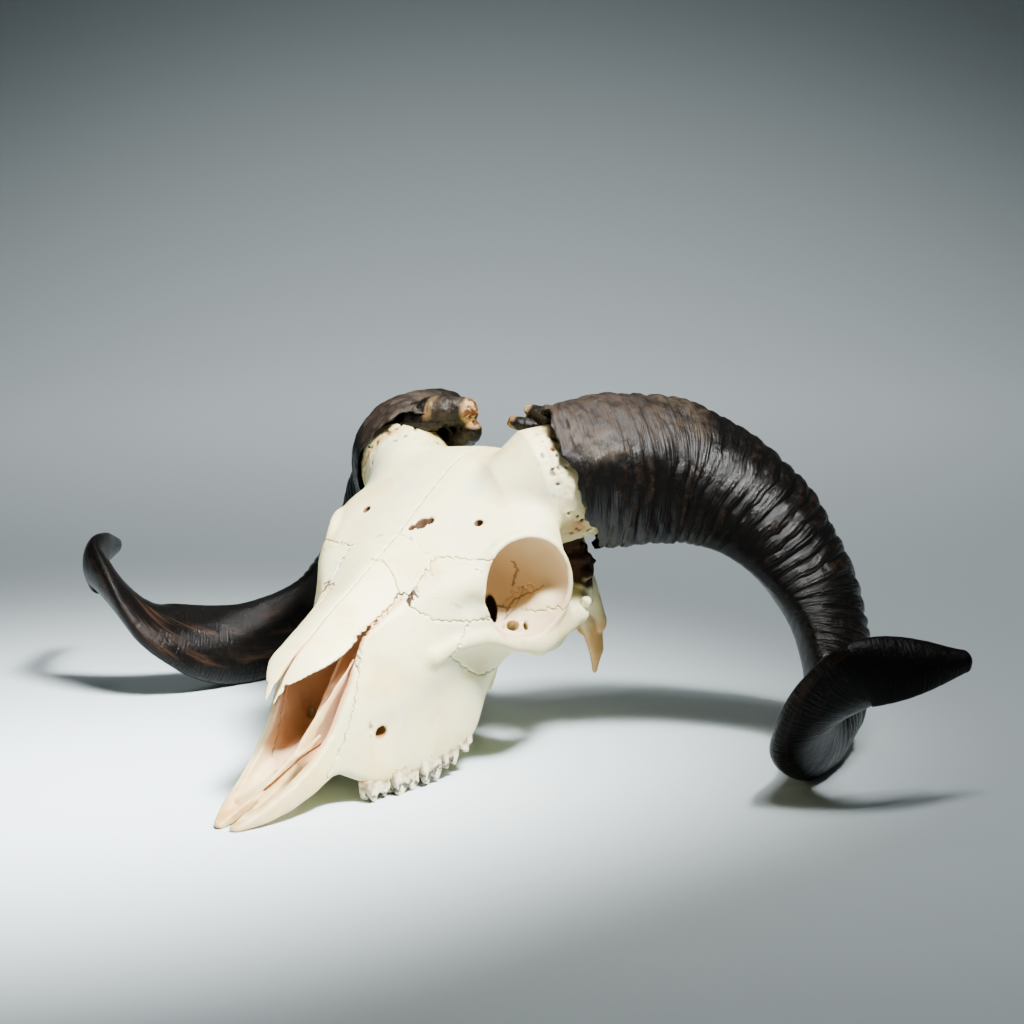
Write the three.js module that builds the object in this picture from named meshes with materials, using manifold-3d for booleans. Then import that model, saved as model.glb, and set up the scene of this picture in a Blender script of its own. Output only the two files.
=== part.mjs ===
// Skull of a ram with both horns and no lower jaw, life size, resting on the tips of its muzzle,
// on its cheek teeth and on the lowest turn of each horn. Millimetres, +Z up.
//
// The skull is laid out in its own frame first: X to the animal's left, Y from the muzzle back to
// the nape and Z up from the palate. A group then pitches it so that its three kinds of support
// stand on one floor, and sets the origin under the middle of the whole.

import * as THREE from 'three';
import { LoftGeometry } from 'three/addons/geometries/LoftGeometry.js';
import { mergeVertices } from 'three/addons/utils/BufferGeometryUtils.js';
import Module from 'manifold-3d';

const wasm = await Module();
wasm.setup();

// ---------------------------------------------------------------- driving dimensions

const PITCH_DEG = 6.82;       // nose-down pitch of the resting skull
const FLOOR_BELOW = 0.9;      // from the skull frame's origin down to the floor
const FLOOR_BLOCK = { side: 800, depth: 40, middle: 200 };
const SEAM = 0.3;             // width of the thin cuts between neighbouring pieces
const HALF_SEAM = SEAM / 2;
const WIDE = 90;              // further out than any bone reaches

const RAIL_STEPS = 2;         // points from one named rail to the next round a section
const SECTION_SPACING = 11;   // between two sections of the skull
const HORN_SIDES = 12;        // points round a horn
const HORN_STEPS = 7;         // sections along each third of a horn
const LENGTH_SAMPLES = 60;    // chords added up for the length of a horn
const SHARPEST_MITER = 0.4;   // keeps a grown outline's corners short

const BONE = { color: '#ece6d6', roughness: 0.6, metalness: 0 };
const NOSE_BONE = { color: '#c98f5a', roughness: 0.7, metalness: 0 };
const HORN = { color: '#241d19', roughness: 0.4, metalness: 0 };

// Half-sections of the skull, named by place. y is the distance behind the muzzle tip. The ridge
// and the keel are heights on the midline; the rest are [x, z] down the animal's left side.
const STATIONS = [
  { place: 'muzzle tip', y: 3, ridge: 6, shoulder: [3, 5.5], upper: [5, 4.5],
    crest: [6.5, 3.5], cheek: [7, 2.2], socket: [6.5, 0.8], palate: [4, 0.2], keel: 0.4 },
  { place: 'incisive bone', y: 20, ridge: 23, shoulder: [7, 20], upper: [10, 16],
    crest: [12, 10], cheek: [13.5, 5], socket: [12.5, 0.6], palate: [7, 0.4], keel: 2 },
  { place: 'nasal tips', y: 45, ridge: 50.5, shoulder: [8, 48], upper: [14, 37],
    crest: [17.5, 21], cheek: [19, 10], socket: [17, 4], palate: [9, 5], keel: 8 },
  { place: 'toothless gap', y: 62, ridge: 63, shoulder: [14, 59.5], upper: [17, 48],
    crest: [21, 27], cheek: [22, 15], socket: [20, 9], palate: [11, 9], keel: 12 },
  { place: 'first premolar', y: 77, ridge: 69.5, shoulder: [17, 63.5], upper: [20, 53],
    crest: [25.5, 33], cheek: [28, 14], socket: [28, 0], palate: [17, 3], keel: 10 },
  { place: 'infraorbital hole', y: 98, ridge: 78, shoulder: [18.5, 70], upper: [23.5, 62],
    crest: [30.5, 41], cheek: [31.5, 20], socket: [30.5, -3.5], palate: [20, 0.5], keel: 8.5 },
  { place: 'facial tuber', y: 119, ridge: 86, shoulder: [21, 77], upper: [29, 71.5],
    crest: [38, 50], cheek: [34.5, 26], socket: [32.5, -4], palate: [21, 0.5], keel: 8.5 },
  { place: 'before the orbit', y: 138, ridge: 93.5, shoulder: [25, 88], upper: [43, 79],
    crest: [45.5, 56], cheek: [38, 33], socket: [33.5, -2], palate: [21, 2], keel: 9 },
  { place: 'front rim of the orbit', y: 152, ridge: 99.5, shoulder: [27, 95], upper: [51, 84],
    crest: [50, 55], cheek: [41, 38], socket: [32, 3], palate: [19, 7], keel: 13 },
  { place: 'middle of the orbit', y: 173, ridge: 109.5, shoulder: [29, 105], upper: [58.5, 91.5],
    crest: [56, 47], cheek: [46, 38], socket: [24, 23], palate: [13, 25], keel: 28 },
  { place: 'rear rim of the orbit', y: 193, ridge: 118, shoulder: [32, 113], upper: [59, 95],
    crest: [61, 51], cheek: [47, 41], socket: [19, 28], palate: [11, 29], keel: 30 },
  { place: 'behind the orbit', y: 206, ridge: 121, shoulder: [33, 117], upper: [47, 95],
    crest: [36, 60], cheek: [29, 42], socket: [20, 29], palate: [11, 29], keel: 30 },
  { place: 'horn root', y: 226, ridge: 118, shoulder: [29, 111], upper: [39, 88],
    crest: [38, 60], cheek: [31, 38], socket: [23, 27], palate: [13, 26], keel: 27 },
  { place: 'nape crest', y: 246, ridge: 101, shoulder: [24, 94], upper: [35, 70],
    crest: [43, 50], cheek: [36, 34], socket: [26, 27], palate: [14, 26], keel: 26 },
  { place: 'occiput', y: 257, ridge: 84, shoulder: [19, 76], upper: [28, 64],
    crest: [34, 46], cheek: [28, 35], socket: [20, 31], palate: [11, 31], keel: 33 },
  { place: 'rear face', y: 262, ridge: 66, shoulder: [12, 62], upper: [16, 56],
    crest: [18, 46], cheek: [15, 39], socket: [11, 36], palate: [6, 36], keel: 37 },
];
const SIDE_RAILS = ['shoulder', 'upper', 'crest', 'cheek', 'socket', 'palate'];

// Side-view outlines, [y, z].
const NOSE_OPENING = [[-5, 2], [7, 3.5], [20, 8], [34, 12], [48, 19], [62, 29], [76, 46], [89, 66],
  [76, 61.5], [60, 58], [50, 54], [41, 46.5], [36, 70], [-5, 70]];
const DIASTEMA = [[24, -20], [34, 1.2], [46, 5], [58, 9.2], [65, 8.5], [69, 4], [71.5, -3], [74, -20]];

// The nasal passage behind that opening: y, half width, top and bottom.
const NOSE_PASSAGE = [
  { y: -2, half: 6, top: 12, bottom: 4 },
  { y: 14, half: 8, top: 22, bottom: 5 },
  { y: 40, half: 13, top: 47, bottom: 9.5 },
  { y: 62, half: 16, top: 58, bottom: 15 },
  { y: 88, half: 18, top: 66, bottom: 16 },
  { y: 112, half: 15, top: 72, bottom: 20 },
  { y: 126, half: 8, top: 62, bottom: 30 },
];
const CLEFT = { halfWidth: 2.2, back: 26 };
const PALATINE_SLOT = { x: 6.5, halfWidth: 2, front: 20, back: 50 };
const VOMER = { halfWidth: 0.9, outline: [[32, 10.5], [60, 15.5], [90, 17.5], [104, 20.5], [104, 66],
  [88, 60], [72, 38], [56, 24], [40, 15]] };
const THROAT_PLATE = { x: 11.5, halfWidth: 1.2, outline: [[156, 24], [160, 12], [172, 9], [186, 7],
  [192, 5], [196, 10], [205, 24], [200, 34], [160, 34]] };

// Rounded bosses at the back of the skull: centre and half axes, on the left side.
const CONDYLE = [15, 259, 38, 8.5, 9, 11];
const EAR_BULLA = [24, 227, 24, 7, 11, 8];
const JOINT_PAD = [42, 216, 41, 14, 8, 6];
const NAPE_HOLE = [0, 266, 51, 10, 22, 9];

// Rods on the left side: rows of [x, y, z, half width, half height].
const CHEEK_ARCH = [[58, 172, 42, 4, 6], [60, 188, 45, 3.5, 7], [56, 203, 43, 3.5, 5.5],
  [49, 217, 41, 5, 4.5], [41, 229, 44, 6, 6]];
const EAR_SPINE = [[33, 243, 42, 5, 9], [37, 246, 26, 4, 8], [38, 246.5, 12, 2.8, 5.5],
  [37.5, 244.5, 1.5, 1.4, 2]];

const ORBIT = {
  centre: new THREE.Vector3(54, 169.5, 70),
  outward: new THREE.Vector3(0.907, -0.42, 0.02).normalize(),
  radius: 23.5,
  rimRadius: 25,
  rimThickness: 3.2,
  depth: 40,
  lift: 3,
};
const HOLES = [
  { x: 28, y: 85.3, z: 22.4, radius: 2.7, depth: 12, along: [1, -0.6, -0.1] },
  { x: 34, y: 165, z: 103, radius: 2, depth: 10, along: [0.2, -0.3, 1] },
];

// Cheek teeth from front to back: length along the row and width.
const TEETH = [
  { length: 7.5, width: 8 },
  { length: 9, width: 9.5 },
  { length: 10, width: 11 },
  { length: 13.5, width: 12 },
  { length: 16, width: 12 },
  { length: 17, width: 11 },
];
const TOOTH_ROW = { front: 72, gap: 0.35, outerFront: 28, outerBack: 34.5, length: 74,
  bow: 1.6, root: 8 };
const TOOTH_CROWN = [[72, -6.4], [90, -10], [106, -12], [125, -9.5], [146, -4]];
const TOOTH_RIB = 0.7;
const TOOTH_WAIST = 1.8;
const TOOTH_TAPER = 0.08;     // share of its length that a tooth loses at each end of its inner face
const TWO_LOBED = 12;         // a longer tooth than this has two lobes

// Bony core of a horn: share of the horn's length from its root ring, share of the ring's size, and
// how far the core lies below the middle of the sheath.
const HORN_CORE = [
  { t: -0.09, share: 0.3, drop: 22 },
  { t: -0.045, share: 0.62, drop: 13 },
  { t: 0, share: 0.78, drop: 7 },
  { t: 0.045, share: 0.8, drop: 5 },
  { t: 0.09, share: 0.6, drop: 3 },
];
const CORE_GAP = 0.02;        // room round the core inside the sheath, as a share of the root ring

// A horn from root to tip, on the left side: share of its length, centre, half width away from the
// coil's axis, half thickness along it, and the turn of the section. The roots differ a little.
const HORN_ROOTS = {
  left: [
    { t: 0, at: [37, 210.5, 109.5], half: 35.5, thick: 29.8, turn: 0 },
    { t: 0.0625, at: [61.4, 239.5, 110.2], half: 35.6, thick: 27, turn: -27 },
    { t: 0.125, at: [80.7, 270.8, 101.8], half: 36.3, thick: 24, turn: -37 },
  ],
  right: [
    { t: 0, at: [37.3, 212.6, 100], half: 32, thick: 28, turn: -5 },
    { t: 0.0625, at: [62.4, 235.9, 106.2], half: 33.3, thick: 26.4, turn: -35 },
    { t: 0.125, at: [78.2, 266.4, 98.9], half: 35.4, thick: 23.2, turn: -42 },
  ],
};
const HORN_LENGTH = [
  { t: 0.25, at: [114.4, 291.3, 74.6], half: 30.6, thick: 21.9, turn: -28 },
  { t: 0.375, at: [140.9, 294.5, 32.2], half: 26.1, thick: 18.9, turn: -25 },
  { t: 0.5, at: [160.8, 269.8, 0.9], half: 22.3, thick: 15.5, turn: -21 },
  { t: 0.625, at: [177.3, 222.7, -6.1], half: 21.2, thick: 13, turn: -15 },
  { t: 0.75, at: [195.8, 182.8, 14.7], half: 19.1, thick: 9.2, turn: -17 },
  { t: 0.875, at: [226.7, 176.4, 43.4], half: 14.6, thick: 6.4, turn: -21 },
  { t: 1, at: [256.8, 221.9, 39.8], half: 6.4, thick: 4.5, turn: -27 },
];
const COIL_CENTRE = new THREE.Vector3(46, 265, 40);
const COIL_AXIS_TURN = -0.37;
const COIL_AXIS_DIP = -0.06;
const HORN_KEEL = 0.12;       // how far the horn's edge stands out of its ellipse, as a share
const HORN_FLATNESS = 0.1;    // how much thinner than its ellipse the horn is towards its edges
const HORN_THIRDS = [0, 0.34, 0.67, 1];
const HORN_TIP = [{ reach: 2.5, size: 0.75 }, { reach: 4, size: 0.4 }];
const HORN_RIM = {
  normal: new THREE.Vector3(0.7, 0.663, 0.266).normalize(),
  distance: 210.3,
  near: new THREE.Vector3(40, 205, 108),
  blockSide: 260,
};
// Worn stubs of the sheath's inner lip: rows of [x, y, z, width, height].
const LIP_STUBS = [
  [[44, 247, 118, 8, 7], [26, 239, 128, 7, 6], [10, 231, 132, 4.5, 4]],
  [[46, 243, 126, 8, 6], [30, 239, 136, 6.5, 5.5], [16.5, 236, 139, 4, 3.5]],
];

// ---------------------------------------------------------------- small helpers

// A smooth curve through rows of [key, value, value...]: cubic pieces with matched slopes.
function smooth(rows) {
  const slope = (i, c) => {
    const a = rows[Math.max(i - 1, 0)];
    const b = rows[Math.min(i + 1, rows.length - 1)];
    return (b[c] - a[c]) / (b[0] - a[0]);
  };
  return (key) => {
    const last = rows.length - 2;
    let i = 0;
    while (i < last && key > rows[i + 1][0]) i += 1;
    const span = rows[i + 1][0] - rows[i][0];
    const t = (key - rows[i][0]) / span;
    const u = 1 - t;
    return rows[i].slice(1).map((value, k) => {
      const c = k + 1;
      const next = rows[i + 1][c];
      const bend = slope(i, c) * span * t * u * u - slope(i + 1, c) * span * t * t * u;
      return value * u * u * (1 + 2 * t) + next * t * t * (1 + 2 * u) + bend;
    });
  };
}

function solidOf(geometry) {
  const bare = new THREE.BufferGeometry().copy(geometry);
  bare.deleteAttribute('normal');
  bare.deleteAttribute('uv');
  const merged = mergeVertices(bare, 1e-4);
  const mesh = new wasm.Mesh({
    numProp: 3,
    vertProperties: new Float32Array(merged.attributes.position.array),
    triVerts: new Uint32Array(merged.index.array),
  });
  return new wasm.Manifold(mesh);
}

function geometryOf(solid) {
  const mesh = solid.getMesh();
  const geometry = new THREE.BufferGeometry();
  geometry.setAttribute('position', new THREE.BufferAttribute(mesh.vertProperties.slice(), 3));
  geometry.setIndex(new THREE.BufferAttribute(mesh.triVerts.slice(), 1));
  geometry.computeVertexNormals();
  return geometry;
}

// Closed loft through rings of points; rings run anticlockwise seen from the last one.
function loft(rings) {
  return solidOf(new LoftGeometry(rings, { closed: true, capStart: true, capEnd: true }));
}

const UP = new THREE.Vector3(0, 0, 1);

function ring(centre, axisA, axisB, a, b, sides) {
  return Array.from({ length: sides }, (_, i) => {
    const turn = 2 * Math.PI * i / sides;
    return centre.clone()
      .addScaledVector(axisA, a * Math.cos(turn))
      .addScaledVector(axisB, b * Math.sin(turn));
  });
}

const NUDGE = 0.02;           // step along a rod that finds its direction
const NEARLY_UPRIGHT = 0.05;

// A tapering rod through rows of [x, y, z, width, height], round ended.
function rod(rows, sides = 10, steps = 5) {
  const keyed = smooth(rows.map((row, i) => [i / (rows.length - 1), ...row]));
  const centreAt = (t) => new THREE.Vector3(...keyed(t).slice(0, 3));
  const rings = [];
  for (let i = 0; i <= steps; i += 1) {
    const t = i / steps;
    const next = centreAt(Math.min(t + NUDGE, 1));
    const ahead = next.sub(centreAt(Math.max(t - NUDGE, 0))).normalize();
    const across = new THREE.Vector3().crossVectors(UP, ahead);
    if (across.lengthSq() < NEARLY_UPRIGHT) across.set(1, 0, 0).projectOnPlane(ahead);
    across.normalize();
    const rise = new THREE.Vector3().crossVectors(ahead, across);
    const [, , , width, height] = keyed(t);
    rings.push(ring(centreAt(t), across, rise, width, height, sides));
  }
  return loft(rings);
}

function ball(x, y, z, rx, ry, rz) {
  const sphere = new THREE.SphereGeometry(1, 8, 6);
  sphere.scale(rx, ry, rz).translate(x, y, z);
  return solidOf(sphere);
}

// A side-view outline of [y, z] points, thrown across the skull from one x to another.
function slab(outline, fromX, toX) {
  const shape = new THREE.Shape(outline.map(([y, z]) => new THREE.Vector2(y, z)));
  const geometry = new THREE.ExtrudeGeometry(shape, { depth: toX - fromX, bevelEnabled: false });
  const axes = new THREE.Matrix4().makeBasis(
    new THREE.Vector3(0, 1, 0), new THREE.Vector3(0, 0, 1), new THREE.Vector3(1, 0, 0));
  return solidOf(geometry.applyMatrix4(axes).translate(fromX, 0, 0));
}

// The same outline with every side moved out by one distance.
function grown(outline, distance) {
  const turning = outline.reduce((sum, [y, z], i) => {
    const [nextY, nextZ] = outline[(i + 1) % outline.length];
    return sum + y * nextZ - nextY * z;
  }, 0);
  const out = Math.sign(turning) * distance;
  return outline.map(([y, z], i) => {
    const before = outline[(i + outline.length - 1) % outline.length];
    const after = outline[(i + 1) % outline.length];
    const a = new THREE.Vector2(y - before[0], z - before[1]).normalize();
    const b = new THREE.Vector2(after[0] - y, after[1] - z).normalize();
    const normal = new THREE.Vector2(a.y + b.y, -a.x - b.x).normalize();
    const miter = Math.max(normal.dot(new THREE.Vector2(b.y, -b.x)), SHARPEST_MITER);
    return [y + normal.x * out / miter, z + normal.y * out / miter];
  });
}

function mirrored(geometry) {
  const copy = new THREE.BufferGeometry().copy(geometry).scale(-1, 1, 1);
  const index = copy.index.array;
  for (let i = 0; i < index.length; i += 3) {
    [index[i + 1], index[i + 2]] = [index[i + 2], index[i + 1]];
  }
  copy.computeVertexNormals();
  return copy;
}

const bothSides = (make) => make(1).add(make(-1));

// ---------------------------------------------------------------- placing on the floor

const skull = new THREE.Group();
skull.rotation.x = THREE.MathUtils.degToRad(PITCH_DEG);
skull.position.z = -FLOOR_BELOW;
skull.updateMatrix();

function floorCutter() {
  const { side, depth, middle } = FLOOR_BLOCK;
  const box = new THREE.BoxGeometry(side, side, depth).translate(0, middle, -depth / 2);
  return solidOf(box.applyMatrix4(skull.matrix.clone().invert()));
}
const floor = floorCutter();

// ---------------------------------------------------------------- outer form of the skull

const ridge = smooth(STATIONS.map((s) => [s.y, s.ridge]));
const keel = smooth(STATIONS.map((s) => [s.y, s.keel]));
const rails = SIDE_RAILS.map((name) => smooth(STATIONS.map((s) => [s.y, ...s[name]])));

// One ring round the skull at y, moved out from the section's middle by a clearance.
function skullSection(y, clearance) {
  const left = rails.map((rail) => rail(y));
  const right = left.map(([x, z]) => [-x, z]).reverse();
  const middle = (ridge(y)[0] + keel(y)[0]) / 2;
  const named = [[0, ridge(y)[0]], ...left, [0, keel(y)[0]], ...right].map(([x, z]) => {
    const reach = 1 + clearance / Math.hypot(x, z - middle);
    return [x * reach, middle + (z - middle) * reach];
  });
  const curve = new THREE.CatmullRomCurve3(
    named.map(([x, z]) => new THREE.Vector3(x, y, z)), true, 'centripetal');
  return curve.getPoints(named.length * RAIL_STEPS).slice(0, -1);
}

function outerForm(clearance = 0) {
  const front = STATIONS[0].y;
  const back = STATIONS[STATIONS.length - 1].y;
  const count = Math.round((back - front) / SECTION_SPACING);
  const rings = Array.from({ length: count + 1 }, (_, i) =>
    skullSection(front + (back - front) * i / count, clearance));
  return loft(rings);
}

function nosePassage() {
  const rings = NOSE_PASSAGE.map(({ y, half, top, bottom }) => {
    const centre = new THREE.Vector3(0, y, (top + bottom) / 2);
    return ring(centre, new THREE.Vector3(1, 0, 0), UP, half, (top - bottom) / 2, 12).reverse();
  });
  return loft(rings);
}

function nostrilCuts() {
  const { halfWidth, back } = CLEFT;
  const slot = PALATINE_SLOT;
  const cleft = slab([[-6, -20], [back, -20], [back, 30], [-6, 30]], -halfWidth, halfWidth);
  const slotSide = [[slot.front, -20], [slot.back, -20], [slot.back, 22], [slot.front, 22]];
  const slots = bothSides((side) => {
    const from = side * slot.x - slot.halfWidth;
    return slab(slotSide, from, from + 2 * slot.halfWidth);
  });
  return cleft.add(slots);
}

// ---------------------------------------------------------------- orbits and small holes

function onSide(vector, side) {
  return new THREE.Vector3(vector.x * side, vector.y, vector.z);
}

function orbitRim(side) {
  const torus = new THREE.TorusGeometry(ORBIT.rimRadius, ORBIT.rimThickness, 5, 20);
  const turn = new THREE.Quaternion().setFromUnitVectors(UP, onSide(ORBIT.outward, side));
  const centre = onSide(ORBIT.centre, side);
  return solidOf(torus.applyQuaternion(turn).translate(centre.x, centre.y, centre.z));
}

function orbitHollow(side) {
  const bowl = new THREE.SphereGeometry(1, 16, 9);
  bowl.rotateX(Math.PI / 2).scale(ORBIT.radius, ORBIT.radius, ORBIT.depth);
  const outward = onSide(ORBIT.outward, side);
  const turn = new THREE.Quaternion().setFromUnitVectors(UP, outward);
  const centre = onSide(ORBIT.centre, side).addScaledVector(outward, ORBIT.lift);
  return solidOf(bowl.applyQuaternion(turn).translate(centre.x, centre.y, centre.z));
}

function smallHoles(side) {
  return HOLES.map(({ x, y, z, radius, depth, along }) => {
    const hole = new THREE.CylinderGeometry(radius, radius, 2 * depth, 6);
    const direction = onSide(new THREE.Vector3(...along), side).normalize();
    const turn = new THREE.Quaternion().setFromUnitVectors(new THREE.Vector3(0, 1, 0), direction);
    return solidOf(hole.applyQuaternion(turn).translate(x * side, y, z));
  }).reduce((a, b) => a.add(b));
}

// ---------------------------------------------------------------- arches, spines and condyles

function throatPlate(side) {
  const { x, halfWidth, outline } = THROAT_PLATE;
  return slab(outline, x * side - halfWidth, x * side + halfWidth);
}

function rearDetails(side) {
  const bosses = [CONDYLE, EAR_BULLA, JOINT_PAD].map(([x, ...rest]) => ball(x * side, ...rest));
  const rods = [CHEEK_ARCH, EAR_SPINE].map((rows) =>
    rod(rows.map(([x, ...rest]) => [x * side, ...rest]), 7, 4));
  return [...bosses, ...rods, throatPlate(side)].reduce((a, b) => a.add(b));
}

// ---------------------------------------------------------------- cheek teeth

const crownHeight = smooth(TOOTH_CROWN);

function toothOutline(length, width) {
  const lobes = length > TWO_LOBED ? 2 : 1;
  const points = [];
  for (let i = 0; i <= 2 * lobes; i += 1) {
    const rib = i % 2 === 0 ? TOOTH_RIB : -TOOTH_RIB;
    points.push([rib, length * i / (2 * lobes)]);
  }
  for (let i = 2 * lobes; i >= 0; i -= 1) {
    const waist = i % 2 === 0 ? TOOTH_WAIST : 0;
    const along = TOOTH_TAPER + (1 - 2 * TOOTH_TAPER) * i / (2 * lobes);
    points.push([-width + waist, length * along]);
  }
  return points;
}

function tooth(y, { length, width }, side) {
  const share = (y + length / 2 - TOOTH_ROW.front) / TOOTH_ROW.length;
  const outer = THREE.MathUtils.lerp(TOOTH_ROW.outerFront, TOOTH_ROW.outerBack, share)
    + TOOTH_ROW.bow * Math.sin(Math.PI * share);
  const outline = toothOutline(length, width).map(([x, along]) =>
    new THREE.Vector2((outer + x) * side, y + along));
  const bottom = crownHeight(y + length / 2)[0];
  const geometry = new THREE.ExtrudeGeometry(
    new THREE.Shape(outline), { depth: TOOTH_ROW.root - bottom, bevelEnabled: false });
  return solidOf(geometry.translate(0, 0, bottom));
}

function toothRow(side) {
  let y = TOOTH_ROW.front;
  let row = null;
  for (const size of TEETH) {
    const next = tooth(y, size, side);
    row = row ? row.add(next) : next;
    y += size.length + TOOTH_ROW.gap;
  }
  return row;
}

// ---------------------------------------------------------------- horns

const coilAxis = new THREE.Vector3(
  Math.cos(COIL_AXIS_DIP) * Math.cos(COIL_AXIS_TURN),
  Math.cos(COIL_AXIS_DIP) * Math.sin(COIL_AXIS_TURN),
  Math.sin(COIL_AXIS_DIP));

// Ring of points round a horn: an ellipse drawn out into a blunt keel on the coil's inner edge.
function hornRing(centre, along, half, thick, turnDeg) {
  const outward = centre.clone().sub(COIL_CENTRE).projectOnPlane(coilAxis);
  outward.projectOnPlane(along).normalize();
  const sideways = new THREE.Vector3().crossVectors(along, outward);
  const turn = THREE.MathUtils.degToRad(turnDeg);
  const wide = outward.clone().multiplyScalar(Math.cos(turn)).addScaledVector(sideways, Math.sin(turn));
  const thin = new THREE.Vector3().crossVectors(along, wide);
  return Array.from({ length: HORN_SIDES }, (_, i) => {
    const angle = 2 * Math.PI * i / HORN_SIDES;
    const keelShare = 1 + HORN_KEEL * Math.max(-Math.cos(angle), 0) ** 6;
    return centre.clone()
      .addScaledVector(wide, half * Math.cos(angle) * keelShare)
      .addScaledVector(thin, thick * Math.sin(angle) * (1 - HORN_FLATNESS * Math.cos(angle) ** 2));
  });
}

const hornCurves = Object.fromEntries(Object.entries(HORN_ROOTS).map(([side, root]) => [side,
  smooth([...root, ...HORN_LENGTH].map(({ t, at, half, thick, turn }) =>
    [t, ...at, half, thick, turn]))]));

function hornPoint(side, t) {
  return new THREE.Vector3(...hornCurves[side](THREE.MathUtils.clamp(t, 0, 1)).slice(0, 3));
}

function hornDirection(side, t) {
  return hornPoint(side, t + 0.01).sub(hornPoint(side, t - 0.01)).normalize();
}

function hornRingAt(side, t) {
  const [, , , half, thick, turn] = hornCurves[side](t);
  return hornRing(hornPoint(side, t), hornDirection(side, t), half, thick, turn);
}

function hornLength(side) {
  const points = Array.from({ length: LENGTH_SAMPLES + 1 }, (_, i) =>
    hornPoint(side, i / LENGTH_SAMPLES));
  return points.reduce((sum, p, i) => (i ? sum + p.distanceTo(points[i - 1]) : 0), 0);
}

function hornThird(side, k) {
  const gap = SEAM / hornLength(side);
  const from = HORN_THIRDS[k] + (k > 0 ? gap / 2 : 0);
  const to = HORN_THIRDS[k + 1] - (k < 2 ? gap / 2 : 0);
  const rings = Array.from({ length: HORN_STEPS + 1 }, (_, i) =>
    hornRingAt(side, from + (to - from) * i / HORN_STEPS));
  if (k === 2) {
    const tip = hornPoint(side, 1);
    for (const { reach, size } of HORN_TIP) {
      rings.push(hornRingAt(side, 1).map((p) =>
        p.sub(tip).multiplyScalar(size).add(tip).addScaledVector(hornDirection(side, 1), reach)));
    }
  }
  return loft(rings);
}

function hornCore(side, extra) {
  const length = hornLength(side);
  return loft(HORN_CORE.map(({ t, share, drop }) => {
    const inside = Math.max(t, 0);
    const middle = hornPoint(side, inside);
    const moved = middle.clone().addScaledVector(hornDirection(side, 0), (t - inside) * length);
    moved.z -= drop;
    return hornRingAt(side, inside).map((p) =>
      p.sub(middle).multiplyScalar(share + extra).add(moved));
  }));
}

function hornSheath(side) {
  const stubs = LIP_STUBS.map((rows) => rod(rows, 8, 4)).reduce((a, b) => a.add(b));
  return hornThird(side, 0).subtract(rimCutter()).add(stubs)
    .subtract(hornCore(side, CORE_GAP)).subtract(outerForm(SEAM));
}

function rimCutter() {
  const { normal, distance, near, blockSide } = HORN_RIM;
  const box = new THREE.BoxGeometry(blockSide, blockSide, blockSide).translate(0, 0, -blockSide / 2);
  box.applyQuaternion(new THREE.Quaternion().setFromUnitVectors(UP, normal));
  const place = normal.clone().multiplyScalar(distance).add(near.clone().projectOnPlane(normal));
  return solidOf(box.translate(place.x, place.y, place.z));
}

// ---------------------------------------------------------------- the whole skull, then its parts

function wholeSkull() {
  let whole = outerForm().add(bothSides(rearDetails));
  whole = whole.add(bothSides(orbitRim));
  whole = whole.subtract(slab(NOSE_OPENING, -WIDE, WIDE));
  whole = whole.subtract(nosePassage());
  whole = whole.subtract(nostrilCuts());
  whole = whole.subtract(slab(DIASTEMA, -WIDE, WIDE));
  whole = whole.add(bothSides(toothRow));
  whole = whole.subtract(bothSides(orbitHollow));
  whole = whole.subtract(bothSides(smallHoles));
  whole = whole.subtract(ball(...NAPE_HOLE));
  return whole.subtract(floor);
}

// Side-view ground of each bone, [y, z], and how far out from the midline it begins.
const GROUNDS = [
  { bone: 'zygomatic', from: 36, outline: [[124, 49], [138, 61.5], [150, 60], [186, 61.5], [204, 61.5],
    [207, 36], [190, 30], [150, 30]] },
  { bone: 'lacrimal', from: 24, outline: [[117, 73.5], [126, 80.5], [142, 90], [158, 86], [158, 61],
    [138, 61.5], [123, 66]] },
  { bone: 'frontal', from: 0, outline: [[119.5, 78.5], [118, 100], [150, 150], [241, 150], [239, 92],
    [231, 73], [220, 62], [204, 61.5], [186, 61.5], [160, 57], [140, 66], [128, 75]] },
  { bone: 'nasal', from: 0, outline: [[36, 40], [36, 90], [118.2, 110], [119.5, 78.5], [112, 74.5],
    [98, 69.5], [89, 66.5], [76, 59], [58, 50], [45, 44]] },
  { bone: 'premaxilla', from: 0, outline: [[-10, -10], [50, -10], [53, 10], [64, 22], [70.5, 32],
    [78, 45], [91, 68], [40, 42], [-10, 40]] },
  { bone: 'maxilla', from: 0, outline: [[40, -20], [165, -20], [166, 20], [160, 57], [150, 80],
    [119.5, 120], [40, 70]] },
];

function mirroredSolid(solid) {
  return solidOf(mirrored(geometryOf(solid)));
}

function partSkull(whole) {
  let left = whole.intersect(slab([[-20, -40], [300, -40], [300, 170], [-20, 170]], HALF_SEAM, WIDE));
  const bones = {};
  for (const { bone, from, outline } of GROUNDS) {
    bones[bone] = left.intersect(slab(outline, from, WIDE));
    left = left.subtract(slab(grown(outline, SEAM), from - (from ? SEAM : WIDE), WIDE));
  }
  let rest = whole;
  for (const { from, outline } of GROUNDS) {
    const clear = grown(outline, SEAM);
    rest = from
      ? rest.subtract(slab(clear, from - SEAM, WIDE)).subtract(slab(clear, -WIDE, SEAM - from))
      : rest.subtract(slab(clear, -WIDE, WIDE));
  }
  bones.braincase = rest.subtract(hornCore('left', CORE_GAP))
    .subtract(mirroredSolid(hornCore('right', CORE_GAP)));
  return bones;
}

function vomer() {
  return slab(VOMER.outline, -VOMER.halfWidth, VOMER.halfWidth);
}

// ---------------------------------------------------------------- scene graph

function addMesh(name, geometry, look) {
  const mesh = new THREE.Mesh(geometry, new THREE.MeshStandardMaterial(look));
  mesh.name = name;
  skull.add(mesh);
}

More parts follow.
